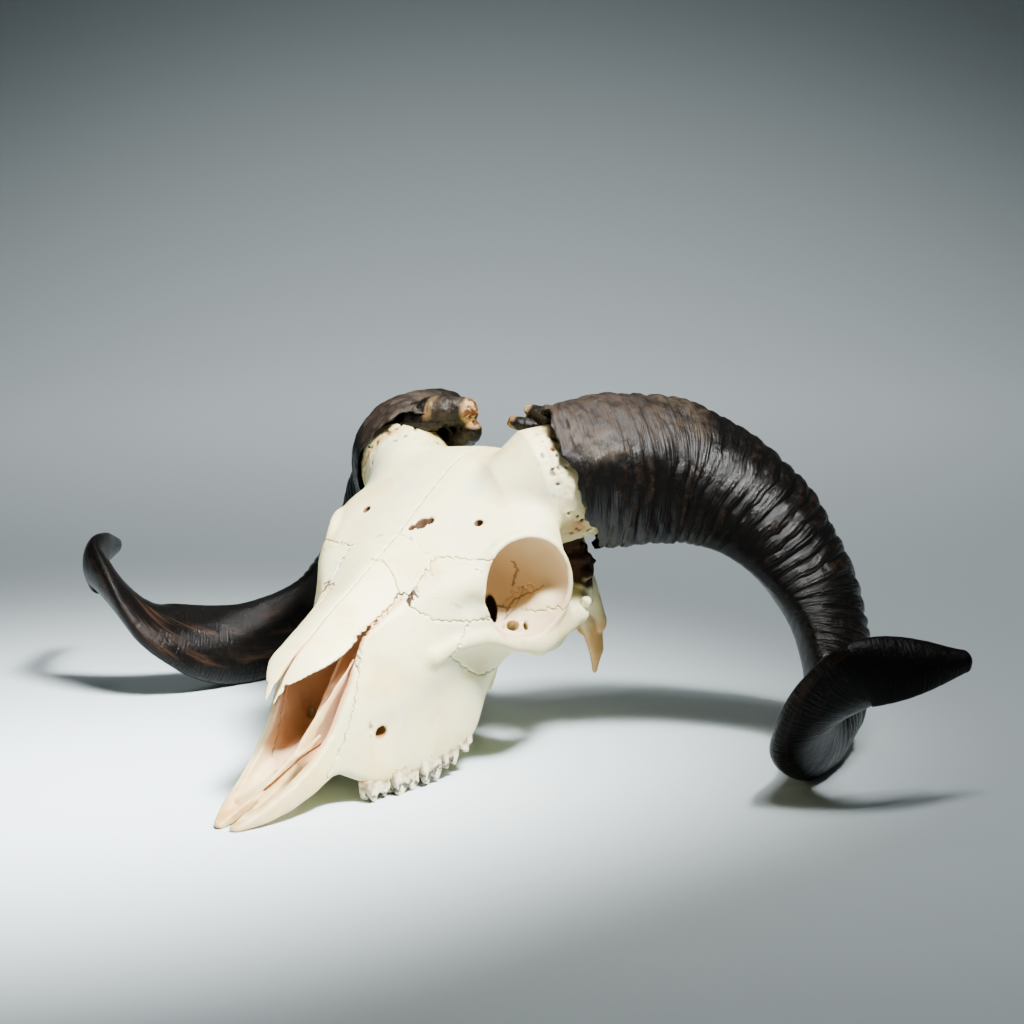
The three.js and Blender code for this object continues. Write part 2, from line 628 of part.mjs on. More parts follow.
function addPair(name, solid, look) {
  const geometry = geometryOf(solid);
  addMesh(`${name}_left`, geometry, look);
  addMesh(`${name}_right`, mirrored(geometry), look);
}

const bones = partSkull(wholeSkull());
for (const { bone } of GROUNDS) {
  if (bone === 'frontal') {
    addMesh('frontal_left', geometryOf(bones.frontal.add(hornCore('left', 0))), BONE);
    addMesh('frontal_right', mirrored(geometryOf(bones.frontal.add(hornCore('right', 0)))), BONE);
  } else {
    addPair(bone, bones[bone], BONE);
  }
}
addMesh('braincase', geometryOf(bones.braincase), BONE);
addMesh('vomer', geometryOf(vomer()), NOSE_BONE);

for (const side of ['left', 'right']) {
  const place = (solid) => {
    const geometry = geometryOf(solid.subtract(floor));
    return side === 'left' ? geometry : mirrored(geometry);
  };
  addMesh(`horn_base_${side}`, place(hornSheath(side)), HORN);
  addMesh(`horn_middle_${side}`, place(hornThird(side, 1)), HORN);
  addMesh(`horn_tip_${side}`, place(hornThird(side, 2)), HORN);
}

const part = new THREE.Group();
part.add(skull);
part.updateMatrixWorld(true);
const box = new THREE.Box3().setFromObject(part, true);
skull.position.y -= (box.min.y + box.max.y) / 2;
part.updateMatrixWorld(true);

export default part;
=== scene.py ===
# %% [markdown]
# # A ram's skull with its horns
#
# A dry skull is a good subject for a first model of bone: thin plates that meet along wavy seams,
# round hollows with sharp rims, and two horns that grow by a rule. The bones are cut from one block
# of digital clay, a grid of distances, because smooth joins and clean hollows are easy there. The
# horns are swept along a curve and ridged by Geometry Nodes, because their surface repeats.

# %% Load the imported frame
import math

import bpy
import numpy as np
import openvdb
from mathutils import Matrix, Vector


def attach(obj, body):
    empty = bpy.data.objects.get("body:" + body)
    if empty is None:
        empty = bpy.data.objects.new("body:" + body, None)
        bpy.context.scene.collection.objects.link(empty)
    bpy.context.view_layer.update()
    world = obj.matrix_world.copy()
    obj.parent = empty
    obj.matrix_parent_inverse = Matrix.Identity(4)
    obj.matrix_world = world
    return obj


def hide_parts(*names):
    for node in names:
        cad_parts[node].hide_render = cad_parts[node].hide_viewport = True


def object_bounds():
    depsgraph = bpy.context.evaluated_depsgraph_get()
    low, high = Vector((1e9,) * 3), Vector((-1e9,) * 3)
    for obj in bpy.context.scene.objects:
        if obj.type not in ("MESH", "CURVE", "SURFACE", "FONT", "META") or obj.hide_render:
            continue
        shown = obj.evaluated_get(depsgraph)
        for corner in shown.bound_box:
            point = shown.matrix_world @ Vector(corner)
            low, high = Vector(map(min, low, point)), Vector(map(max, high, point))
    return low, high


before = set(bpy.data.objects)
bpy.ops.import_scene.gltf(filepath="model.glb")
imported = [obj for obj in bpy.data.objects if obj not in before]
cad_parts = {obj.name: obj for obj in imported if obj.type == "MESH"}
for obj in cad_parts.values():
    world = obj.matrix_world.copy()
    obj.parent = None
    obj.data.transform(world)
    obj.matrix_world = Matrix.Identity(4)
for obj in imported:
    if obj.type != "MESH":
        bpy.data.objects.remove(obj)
CAD_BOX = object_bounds()
print("frame nodes:", len(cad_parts))

# %% [markdown]
# ## Two frames
#
# The skull is described in its own frame, in millimetres: X to the animal's left, Y from the muzzle
# back to the nape, Z up from the palate. It lies a little nose-down on the floor, so one function
# turns a list of its points to the room's metres. Whatever would sink below the floor is pressed
# flat there: those are the small worn places it rests on.

# %% From the skull's frame to the room
MM = 0.001
PITCH = math.radians(6.82)
FLOOR_BELOW = 0.9
MUZZLE_TO_MIDDLE = 159.405
SIDES = {"left": 1, "right": -1}


def to_room(points):
    x, y, z = np.asarray(points, float).T
    back = y * math.cos(PITCH) - z * math.sin(PITCH) - MUZZLE_TO_MIDDLE
    up = y * math.sin(PITCH) + z * math.cos(PITCH) - FLOOR_BELOW
    return np.column_stack([x, back, np.maximum(up, 0)]) * MM


def smooth(rows):
    """A smooth curve through rows of [key, value, value...]: cubic pieces with matched slopes."""
    rows = np.array(rows, float)
    keys, values = rows[:, 0], rows[:, 1:]
    place = np.arange(len(rows))
    ahead = np.minimum(place + 1, len(rows) - 1)
    behind = np.maximum(place - 1, 0)
    slopes = (values[ahead] - values[behind]) / (keys[ahead] - keys[behind])[:, None]

    def curve(key):
        key = np.atleast_1d(np.asarray(key, float))
        i = np.clip(np.searchsorted(keys, key) - 1, 0, len(rows) - 2)
        span = (keys[i + 1] - keys[i])[:, None]
        t = (key - keys[i])[:, None] / span
        u = 1 - t
        bend = slopes[i] * span * t * u * u - slopes[i + 1] * span * t * t * u
        return values[i] * u * u * (1 + 2 * t) + values[i + 1] * t * t * (1 + 2 * u) + bend

    return curve


# %% [markdown]
# ## Digital clay
#
# A distance grid holds, at each point of a block, how far the nearest surface is, negative inside.
# Two forms are joined by the smaller of their distances and cut by the larger, and a soft version of
# each rounds the edge as real bone is rounded. OpenVDB then draws the surface where the distance is
# zero, as a closed mesh of quads.

# %% The clay and its tools
STEP = 0.75
FAR = 60.0
TINY = 1e-6  # keeps a slope from being divided by nothing
BORDER = 2  # empty cells round a block, so that every surface closes
SMALLEST_ISLAND = 400


def soft_min(a, b, blend):
    share = np.clip(0.5 + 0.5 * (b - a) / blend, 0, 1)
    return b + (a - b) * share - blend * share * (1 - share)


def soft_max(a, b, blend):
    return -soft_min(-a, -b, blend)


def fade(value, start, end):
    """0 at start, 1 at end, with a smooth step between them."""
    t = np.clip((value - start) / (end - start), 0, 1)
    return t * t * (3 - 2 * t)


class Clay:
    """A block of space as a grid of distances to one surface."""

    def __init__(self, low, high, step):
        self.step = step
        self.axes = [np.arange(a, b, step, dtype=np.float32) for a, b in zip(low, high)]
        self.low = np.array([axis[0] for axis in self.axes])
        self.values = np.full([len(axis) for axis in self.axes], FAR, np.float32)

    def block(self, low, high):
        cut = tuple(slice(*np.searchsorted(axis, (a, b)))
                    for axis, a, b in zip(self.axes, low, high))
        return cut, np.meshgrid(*(axis[part] for axis, part in zip(self.axes, cut)),
                                indexing="ij", sparse=True)

    def join(self, low, high, form, blend):
        cut, grid = self.block(low, high)
        self.values[cut] = soft_min(self.values[cut], form(*grid), blend)

    def cut(self, low, high, form, blend):
        cut, grid = self.block(low, high)
        self.values[cut] = soft_max(self.values[cut], -form(*grid), blend)

    def lumps(self, wavelength, seed):
        """Smooth random lumps of one size, from -1 to 1, all over the block."""
        random = np.random.default_rng(seed)
        spreads = []
        for axis in self.axes:
            place = (axis - axis[0]) / wavelength
            first = np.floor(place).astype(int)
            t = place - first
            t = t * t * (3 - 2 * t)
            spread = np.zeros((len(axis), first[-1] + 2), np.float32)
            spread[np.arange(len(axis)), first] = 1 - t
            spread[np.arange(len(axis)), first + 1] = t
            spreads.append(spread)
        field = random.uniform(-1, 1, [s.shape[1] for s in spreads]).astype(np.float32)
        for k, spread in enumerate(spreads):
            field = np.moveaxis(np.tensordot(spread, field, axes=(1, k)), 0, k)
        return field


def without_islands(points, quads):
    """Leaves out loose crumbs, found by passing the lowest corner number along the faces."""
    label = np.arange(len(points))
    while True:
        lowest = label[quads].min(axis=1)
        spread = label.copy()
        for k in range(4):
            np.minimum.at(spread, quads[:, k], lowest)
        spread = spread[spread]
        if np.array_equal(spread, label):
            break
        label = spread
    sizes = np.bincount(label, minlength=len(points))
    kept = sizes[label] > SMALLEST_ISLAND
    number = np.cumsum(kept) - 1
    return points[kept], number[quads[kept[quads[:, 0]]]]


def surface(values, low, step):
    """The closed surface where the distances are zero: points in millimetres, and quads."""
    outside = step * BORDER
    padded = np.pad(values, BORDER, constant_values=outside)
    grid = openvdb.FloatGrid(background=outside)
    grid.copyFromArray(np.ascontiguousarray(np.clip(padded, -step * 3, step * 3)))
    points, quads = grid.convertToQuads(isovalue=0)
    return without_islands(low + (points - BORDER) * step, quads)


def ball(centre, radii):
    def form(x, y, z):
        parts = [(a - c, r) for a, c, r in zip((x, y, z), centre, radii)]
        near = np.sqrt(sum((d / r) ** 2 for d, r in parts))
        slope = np.sqrt(sum((d / (r * r)) ** 2 for d, r in parts)) + TINY
        return near * (near - 1) / slope
    return form


def rod(rows):
    """A bent, tapering rod through rows of [x, y, z, half width, half height]."""
    rows = np.array(rows, float)

    def form(x, y, z):
        nearest = FAR
        for a, b in zip(rows[:-1], rows[1:]):
            along = b[:3] - a[:3]
            length = np.linalg.norm(along)
            along = along / length
            across = np.cross((0, 0, 1), along)
            if np.linalg.norm(across) < 0.25:
                across = np.array((1.0, 0, 0)) - along * along[0]
            across /= np.linalg.norm(across)
            rise = np.cross(along, across)
            dx, dy, dz = x - a[0], y - a[1], z - a[2]
            share = np.clip((dx * along[0] + dy * along[1] + dz * along[2]) / length, 0, 1)
            dx, dy, dz = (d - share * (end - start)
                          for d, start, end in zip((dx, dy, dz), a[:3], b[:3]))
            wide = a[3] + (b[3] - a[3]) * share
            high = a[4] + (b[4] - a[4]) * share
            reach = np.sqrt(((dx * across[0] + dy * across[1] + dz * across[2]) / wide) ** 2
                            + ((dx * rise[0] + dy * rise[1] + dz * rise[2]) / high) ** 2
                            + ((dx * along[0] + dy * along[1] + dz * along[2]) / high) ** 2)
            nearest = np.minimum(nearest, (reach - 1) * np.minimum(wide, high))
        return nearest
    return form


def polygon(outline):
    """Distance to a closed outline in the side view, negative inside."""
    points = np.array(outline, float)

    def form(_, y, z):
        nearest = np.full(np.broadcast(y, z).shape, 1e9)
        inside = np.zeros(nearest.shape, bool)
        for (ay, az), (by, bz) in zip(points, np.roll(points, -1, axis=0)):
            ey, ez = by - ay, bz - az
            share = np.clip(((y - ay) * ey + (z - az) * ez) / (ey * ey + ez * ez), 0, 1)
            nearest = np.minimum(nearest, (y - ay - share * ey) ** 2 + (z - az - share * ez) ** 2)
            if ez:
                crossing = (az > z) != (bz > z)
                inside ^= crossing & (y < ey * (z - az) / ez + ay)
        return np.where(inside, -1, 1) * np.sqrt(nearest)
    return form


# %% [markdown]
# ## The measurements of the skull
#
# Each row is half of a cross-section at one named place: the heights of the ridge and the keel on
# the midline and six points down the animal's left side. Everything else on the skull is placed
# against these sections.

# %% Half-sections from the muzzle to the nape
STATIONS = [
    # y, ridge, shoulder, upper, crest, cheek, socket, palate, keel
    (3, 6, (3, 5.5), (5, 4.5), (6.5, 3.5), (7, 2.2), (6.5, 0.8), (4, 0.2), 0.4),
    (20, 23, (7, 20), (10, 16), (12, 10), (13.5, 5), (12.5, 0.6), (7, 0.4), 2),
    (45, 50.5, (8, 48), (14, 37), (17.5, 21), (19, 10), (17, 4), (9, 5), 8),
    (62, 63, (14, 59.5), (17, 48), (21, 27), (22, 15), (20, 9), (11, 9), 12),
    (77, 69.5, (17, 63.5), (20, 53), (25.5, 33), (28, 14), (28, 1.5), (17, 3), 10),
    (98, 78, (18.5, 70), (23.5, 62), (30.5, 41), (31.5, 20), (30.5, -1.5), (20, 0.5), 8.5),
    (119, 86, (21, 77), (29, 71.5), (38, 50), (34.5, 26), (32.5, -2), (21, 0.5), 8.5),
    (138, 93.5, (25, 88), (43, 79), (45.5, 56), (38, 33), (33.5, -0.5), (21, 2), 9),
    (152, 99.5, (27, 95), (51, 84), (50, 55), (41, 38), (32, 3), (19, 7), 13),
    (173, 109.5, (29, 105), (58.5, 91.5), (56, 47), (46, 38), (24, 23), (13, 25), 28),
    (193, 118, (32, 113), (59, 95), (61, 51), (47, 41), (19, 28), (11, 29), 30),
    (206, 121, (33, 117), (47, 95), (36, 60), (29, 42), (20, 29), (11, 29), 30),
    (226, 118, (29, 111), (39, 88), (38, 60), (31, 38), (23, 27), (13, 26), 27),
    (246, 101, (24, 94), (32, 70), (39, 50), (35, 34), (26, 27), (14, 26), 26),
    (257, 84, (19, 76), (26, 64), (31, 46), (28, 35), (20, 31), (11, 31), 33),
    (262, 66, (12, 62), (16, 56), (18, 46), (15, 39), (11, 36), (6, 36), 37),
]
FRONT_END, BACK_END = STATIONS[0][0], STATIONS[-1][0]
END_ROUNDING = 3
ANGLE_STEPS = 361
SECTION_POINTS = 9


def closed_curve(points):
    """Smooth closed curves through the points of many sections at once."""
    before, after = np.roll(points, 1, axis=1), np.roll(points, -1, axis=1)
    beyond = np.roll(points, -2, axis=1)
    rows = []
    for t in np.arange(SECTION_POINTS) / SECTION_POINTS:
        rows.append(0.5 * (2 * points + (after - before) * t
                           + (2 * before - 5 * points + 4 * after - beyond) * t ** 2
                           + (3 * points - before - 3 * after + beyond) * t ** 3))
    return np.stack(rows, axis=2).reshape(len(points), -1, 2)


def section_reaches(y):
    """For each y: the middle height, and the reach of the section in every direction round it."""
    y = np.clip(y, FRONT_END, BACK_END)
    ridge = smooth([(s[0], s[1]) for s in STATIONS])(y)[:, 0]
    keel = smooth([(s[0], s[8]) for s in STATIONS])(y)[:, 0]
    rails = [smooth([(s[0], *s[k]) for s in STATIONS])(y) for k in range(2, 8)]
    top = np.column_stack([0 * y, ridge])
    bottom = np.column_stack([0 * y, keel])
    left = [top, *rails, bottom]
    right = [rail * (-1, 1) for rail in reversed(rails)]
    middle = (ridge + keel) / 2
    outline = closed_curve(np.stack(left + right, axis=1))
    angles = np.linspace(-math.pi / 2, math.pi / 2, ANGLE_STEPS)
    reaches = np.empty((len(y), ANGLE_STEPS), np.float32)
    for j, points in enumerate(outline):
        px, pz = points[:, 0], points[:, 1] - middle[j]
        kept = px >= -0.01
        turn = np.arctan2(pz[kept], np.maximum(px[kept], 0))
        order = np.argsort(turn)
        reaches[j] = np.interp(angles, turn[order], np.hypot(px, pz)[kept][order])
    return middle.astype(np.float32), reaches


# %% Fill the block with the skull's outer form
skull = Clay((-86.25, -3, -15), (86.6, 270, 136), STEP)
middle, reaches = section_reaches(skull.axes[1])
half_x = np.abs(skull.axes[0])[:, None, None]
height = skull.axes[2][None, None, :] - middle[None, :, None]
turn = (np.arctan2(height, half_x) / math.pi + 0.5) * (ANGLE_STEPS - 1)
turn_low = np.clip(turn.astype(np.int32), 0, ANGLE_STEPS - 2)
share = turn - turn_low
row = np.arange(len(middle))[None, :, None]
reach = reaches[row, turn_low] * (1 - share) + reaches[row, turn_low + 1] * share
lean = np.gradient(reaches, math.pi / (ANGLE_STEPS - 1), axis=1)
steepness = reaches / np.hypot(reaches, lean)
outer = (np.hypot(half_x, height) - reach) * steepness[row, turn_low]
ends = np.maximum(FRONT_END - skull.axes[1], skull.axes[1] - BACK_END)[None, :, None]
outer = soft_max(outer, ends, END_ROUNDING).astype(np.float32)
skull.values = outer.copy()
del turn, share, reach, height
print("clay block:", skull.values.shape)

# %% [markdown]
# ## What stands out at the back
#
# Behind the eyes a skull is busy: the arch under the eye, the pad that the lower jaw hung from, the
# round ear capsules, two long spines and the two condyles that turned on the neck. Each is a ball or
# a bent rod melted into the clay.

# %% Bosses, arches and spines
# [x, y, z] and the three half axes, on the animal's left
BOSSES = [
    ((15, 259, 38), (8.5, 9, 11)),
    ((24, 227, 24), (7, 11, 8)),
    ((42, 216, 41), (14, 8, 6)),
]
BOSS_BLEND = 3
# rows of [x, y, z, half width, half height], the blend, on the animal's left
RODS = {
    "cheek arch": ([(58, 172, 42, 4, 6), (60, 188, 45, 3.5, 7), (56, 203, 43, 3.5, 5.5),
                    (49, 217, 41, 5, 4.5), (41, 229, 44, 6, 6)], 3),
    "ear spine": ([(33, 243, 42, 5, 9), (37, 246, 26, 4, 8), (38, 246.5, 12, 2.8, 5.5),
                   (37.5, 244.5, 1.5, 1.4, 2)], 4),
    "jaw joint bar": ([(40, 224, 38, 3, 3.4), (48, 222, 41, 3, 3.4), (55, 218, 47.5, 2.4, 3)], 1.2),
    "nape crest": ([(2, 249, 99, 6, 3), (18, 249, 92, 5, 2.6), (29, 248, 76, 4, 2.4),
                    (36, 245, 60, 3, 2.2)], 4),
    "temple crust": ([(38, 228, 80, 5, 4), (42, 231, 68, 5, 6), (43, 233, 57, 5, 7),
                      (40, 238, 42, 4, 6)], 2),
    "facial crest": ([(37, 119, 49, 3, 3), (42, 130, 53, 3.5, 3), (48, 144, 52, 3, 3.5),
                      (53, 160, 44, 3, 4), (58, 174, 41, 3, 4)], 5),
}
THROAT_PLATE = [(156, 24), (160, 12), (172, 9), (186, 7), (192, 5), (196, 10), (205, 24),
                (200, 34), (160, 34)]
THROAT_PLATE_X, THROAT_PLATE_HALF, THROAT_BLEND = 11.5, 1.2, 2
THROAT_BLOCK = ((-16, 150, 0), (16, 210, 40))
REACH_MARGIN = 16


def on_side(rows, side):
    """Rows of [x, y, z...] as they are, or mirrored to the animal's right."""
    return [(row[0] * side, *row[1:]) for row in rows]


def reach_box(rows, side):
    rows = np.array([row[:3] for row in rows], float) * (side, 1, 1)
    return rows.min(axis=0) - REACH_MARGIN, rows.max(axis=0) + REACH_MARGIN


def join_rod(rows, side, blend):
    skull.join(*reach_box(rows, side), rod(on_side(rows, side)), blend)


def cut_rod(rows, side, edge):
    skull.cut(*reach_box(rows, side), rod(on_side(rows, side)), edge)


for side in SIDES.values():
    for centre, radii in BOSSES:
        skull.join(*reach_box([centre], side), ball(*on_side([centre], side), radii), BOSS_BLEND)
    for rows, blend in RODS.values():
        join_rod(rows, side, blend)
    plate = polygon(THROAT_PLATE)
    skull.join(*THROAT_BLOCK, lambda x, y, z: soft_max(
        plate(x, y, z), np.abs(x - THROAT_PLATE_X * side) - THROAT_PLATE_HALF, 1), THROAT_BLEND)

# %% [markdown]
# ## The eye sockets
#
# The socket is a deep bowl with a thin raised rim, turned outwards and a little forwards. The rim is
# a ring melted onto the cheek, and the bowl is cut after it, which leaves the sharp edge that
# catches the light.

# %% Sockets, with the passages in their walls
ORBIT_CENTRE = np.array((54, 169.5, 70))
ORBIT_OUTWARD = np.array((0.907, -0.42, 0.02))
ORBIT_OUTWARD = ORBIT_OUTWARD / np.linalg.norm(ORBIT_OUTWARD)
ORBIT_RADIUS, ORBIT_DEPTH, ORBIT_LIFT = 23.5, 40, 3
ORBIT_RIM_RADIUS, ORBIT_RIM, RIM_FLATNESS, RIM_BLEND = 24.4, 2.2, 0.8, 2.5
ORBIT_BLOCK, HOLE_EDGE = 46, 0.6


def orbit_parts(side):
    centre = ORBIT_CENTRE * (side, 1, 1)
    outward = ORBIT_OUTWARD * (side, 1, 1)

    def split(x, y, z):
        dx, dy, dz = x - centre[0], y - centre[1], z - centre[2]
        out = dx * outward[0] + dy * outward[1] + dz * outward[2]
        return out, np.sqrt(np.maximum(dx * dx + dy * dy + dz * dz - out * out, 0))

    def rim(x, y, z):
        out, away = split(x, y, z)
        return np.hypot(away - ORBIT_RIM_RADIUS, out * RIM_FLATNESS) - ORBIT_RIM

    def bowl(x, y, z):
        out, away = split(x, y, z)
        out = out - ORBIT_LIFT
        near = np.sqrt((away / ORBIT_RADIUS) ** 2 + (out / ORBIT_DEPTH) ** 2)
        slope = np.sqrt((away / ORBIT_RADIUS ** 2) ** 2 + (out / ORBIT_DEPTH ** 2) ** 2) + TINY
        return near * (near - 1) / slope

    return rim, bowl


def orbit_block(side):
    centre = ORBIT_CENTRE * (side, 1, 1)
    return centre - ORBIT_BLOCK, centre + ORBIT_BLOCK


for side in SIDES.values():
    rim, bowl = orbit_parts(side)
    skull.join(*orbit_block(side), rim, RIM_BLEND)
    skull.cut(*orbit_block(side), bowl, HOLE_EDGE)

# [x, y, z, half width, half height] of what is seen inside each socket
OPTIC_SWELLING = [(44, 184, 46, 6, 6), (51, 190.5, 53, 7, 8)]
PASSAGE_COLLAR = [(46.5, 168.5, 49, 4.6, 4.1), (41, 173, 44, 4.6, 4.1)]
SOCKET_SLIT = [(32, 171.5, 54.5, 2.8, 7), (21, 186, 49, 2.8, 7)]
SOCKET_PASSAGES = [
    SOCKET_SLIT,
    [(49, 166, 52, 3.1, 2.7), (36, 178, 40, 2.6, 2.4)],
    [(52, 172, 51, 0.9, 2.4), (43, 182, 42, 0.9, 2.4)],
]
SWELLING_BLEND, COLLAR_BLEND = 7, 1.5
for side in SIDES.values():
    join_rod(OPTIC_SWELLING, side, SWELLING_BLEND)
    join_rod(PASSAGE_COLLAR, side, COLLAR_BLEND)
    for rows in SOCKET_PASSAGES:
        cut_rod(rows, side, HOLE_EDGE)

# %% [markdown]
# ## The nose
#
# The front of the nose is open: the nasal bones end above it in thin tips, and the two premaxillae
# run below it as slim bars. The cavity follows the outer form at the thickness of a bone plate.

# %% Nose opening, cavity and palate
NOSE_OPENING = [(-5, 2), (7, 3.5), (20, 8), (34, 12), (48, 19), (62, 29), (76, 46), (92, 67),
                (76, 61.5), (60, 58), (50, 54), (41, 46.5), (36, 70), (-5, 70)]
DIASTEMA = [(24, -20), (34, 1.2), (46, 5), (58, 9.2), (65, 8.5), (69, 4), (71.5, -3), (74, -20)]
NOSE_WALL = 2.4
# y, half width, floor of the cavity
NOSE_CAVITY = [(-2, 6, 4), (14, 8, 5), (40, 13, 9.5), (62, 16, 15), (88, 18.5, 16), (112, 17, 20),
               (130, 12, 30)]
CAVITY_BACK = 124
CLEFT_HALF, CLEFT_BACK = 2.2, 26
NASAL_NOTCH = [(0, 40, 50, 2.4, 6), (0, 54, 58, 1.4, 4), (0, 66, 64.6, 0.8, 2), (0, 84, 72.5, 0.5, 1)]
NASAL_GAP = [(21.5, 119, 76.5, 0.5, 0.6), (20.2, 108, 73, 0.65, 0.8), (19.3, 99, 69.5, 0.8, 1),
             (18, 89, 65.5, 1.2, 1.6)]
GAP_DEPTHS, GAP_SLOPE, GAP_EDGE = (-1, 0.5, 2, 3.5), 0.8, 0.3
# middle and half size of the slot beside the midline at the front of the palate, and its top
SLOT_X, SLOT_HALF, SLOT_Y, SLOT_LONG, SLOT_TOP = 6.5, 2, 35, 15, 22
NOSE_BLOCK = ((-30, -3, -15), (30, 132, 100))
NOTCH_BLOCK, NOTCH_EDGE = ((-12, 30, 36), (12, 96, 90)), 0.8
OPENING_EDGE, CAVITY_EDGE, DIASTEMA_EDGE, SLOT_ROUNDING = 1.2, 1, 2, 2
CAVITY_CORNERS, CAVITY_END, WALL_BLEND = 5, 8, 3

cavity_rows = np.array(NOSE_CAVITY, float)


def nose_cavity(x, y, z):
    half = np.interp(y, cavity_rows[:, 0], cavity_rows[:, 1])
    floor = np.interp(y, cavity_rows[:, 0], cavity_rows[:, 2])
    sides = soft_max(np.abs(x) - half, floor - z, CAVITY_CORNERS)
    return soft_max(sides, y - CAVITY_BACK, CAVITY_END)


nose_cut, nose_grid = skull.block(*NOSE_BLOCK)


def carve_nose(form, edge):
    skull.values[nose_cut] = soft_max(skull.values[nose_cut], -form, edge)


def frayed_gap(rows, side):
    """A rod whose height wanders up and down along the nose."""
    gap = rod(on_side(rows, side))
    return lambda x, y, z: gap(x, y, z + 0.5 * np.sin(1.7 * y) + 0.35 * np.sin(3.9 * y))


carve_nose(polygon(NOSE_OPENING)(*nose_grid), OPENING_EDGE)
carve_nose(soft_max(nose_cavity(*nose_grid), outer[nose_cut] + NOSE_WALL, WALL_BLEND), CAVITY_EDGE)
carve_nose(polygon(DIASTEMA)(*nose_grid), DIASTEMA_EDGE)
across, back, up = nose_grid
carve_nose(soft_max(np.abs(across) - CLEFT_HALF, back - CLEFT_BACK, WALL_BLEND), OPENING_EDGE)
for side in SIDES.values():
    slot = soft_max(np.abs(across - SLOT_X * side) - SLOT_HALF, np.abs(back - SLOT_Y) - SLOT_LONG,
                    SLOT_ROUNDING)
    carve_nose(soft_max(slot, up - SLOT_TOP, SLOT_ROUNDING), CAVITY_EDGE)
skull.cut(*NOTCH_BLOCK, rod(NASAL_NOTCH), NOTCH_EDGE)
for side in SIDES.values():
    for depth in GAP_DEPTHS:
        gap_rows = [(row[0] - depth, row[1], row[2] - depth * GAP_SLOPE, *row[3:])
                    for row in NASAL_GAP]
        skull.cut(*reach_box(gap_rows, side), frayed_gap(gap_rows, side), GAP_EDGE)

# %% [markdown]
# ## Hollows, holes and damage
#
# Nerves and blood vessels leave small round holes. A few pinholes, a broken hole above the left eye
# and shallow hollows in the cheek make this one animal rather than a diagram.

# %% Foramina, hollows and the broken hole
# [x, y, z] of the mouth and of the inner end, and the radius
FORAMINA = [
    ((30, 84, 22), (20, 92, 24), 2.8),
    ((34, 164.4, 104), (33, 170, 94), 1.9),
]
PINHOLES = [
    ((27, 80, 27), 0.7), ((28, 79, 23), 0.6), ((15, 66, 64), 0.6), ((13, 62, 64), 0.5),
    ((19, 101, 71), 0.6), ((38, 112, 45), 0.6), ((50, 205, 108), 0.7), ((44, 132, 66), 0.6),
    ((-14, 70, 64.5), 0.6), ((-16, 96, 71), 0.6), ((-28, 79, 23), 0.6),
]
# centre, half axes, blend
HOLLOWS = [
    ((49, 134, 69), (6, 9, 6), 6),
    ((47, 146, 36), (7, 12, 10), 6),
    ((35, 84, 24), (5, 8, 8), 6),
    ((54, 214, 66), (14, 10, 24), 4),
]
BREAK = [((8, 156, 102), (8, 154, 92), 3.2), ((4.5, 152.5, 102), (5, 152, 92), 1.9),
         ((11, 158.5, 104), (11, 158, 93), 2.2)]
BREAK_EDGE, PINHOLE_EDGE, PINHOLE_WIDENING, PINHOLE_DEPTH = 0.3, 0.2, 1.3, 3
# the hole for the spinal cord: its block, centre, half axes and edge
CORD_BLOCK, CORD_CENTRE = ((-30, 235, 30), (30, 270, 75)), (0, 266, 51)
CORD_RADII, CORD_EDGE = (10, 22, 9), 1.5


def hole_rows(mouth, inner, radius):
    """A round hole as a rod from its mouth to its inner end."""
    return [(*mouth, radius, radius), (*inner, radius, radius)]


for side in SIDES.values():
    for centre, radii, blend in HOLLOWS:
        skull.cut(*reach_box([centre], side), ball(*on_side([centre], side), radii), blend)
    for hole in FORAMINA:
        cut_rod(hole_rows(*hole), side, HOLE_EDGE)
for hole in BREAK:
    cut_rod(hole_rows(*hole), 1, BREAK_EDGE)
for place, radius in PINHOLES:
    width = radius * PINHOLE_WIDENING
    skull.cut(*reach_box([place], 1), ball(place, (width, width, PINHOLE_DEPTH)), PINHOLE_EDGE)
skull.cut(*CORD_BLOCK, ball(CORD_CENTRE, CORD_RADII), CORD_EDGE)

# %% Grain of the bone, and the crumbled left temple
# [size in mm, height in mm, seed] of lumps
GRAIN = [(19, 0.35, 11), (6, 0.12, 12)]
CRUMBS = [(4.2, 1.7, 13), (2.1, 0.7, 14)]
CRUMBLED_CENTRE, CRUMBLED_REACH = (45, 232, 64), (12, 12, 14)
skull.values += sum(height * skull.lumps(size, seed) for size, height, seed in GRAIN)
crumbs = sum(height * skull.lumps(size, seed) for size, height, seed in CRUMBS)
cut, grid = skull.block(*reach_box([CRUMBLED_CENTRE], SIDES["left"]))
near = sum(((p - c) / r) ** 2 for p, c, r in zip(grid, CRUMBLED_CENTRE, CRUMBLED_REACH))
skull.values[cut] += crumbs[cut] * fade(near, 1.1, 0.5)
print("bone clay ready")

# %% [markdown]
# ## The curve of a horn
#
# A ram's horn grows from its root, so it widens backwards and winds round an axis that leans out
# from the head. One table gives its middle line, its half widths and the turn of its section. The
# two roots differ a little, as they do on a real animal.

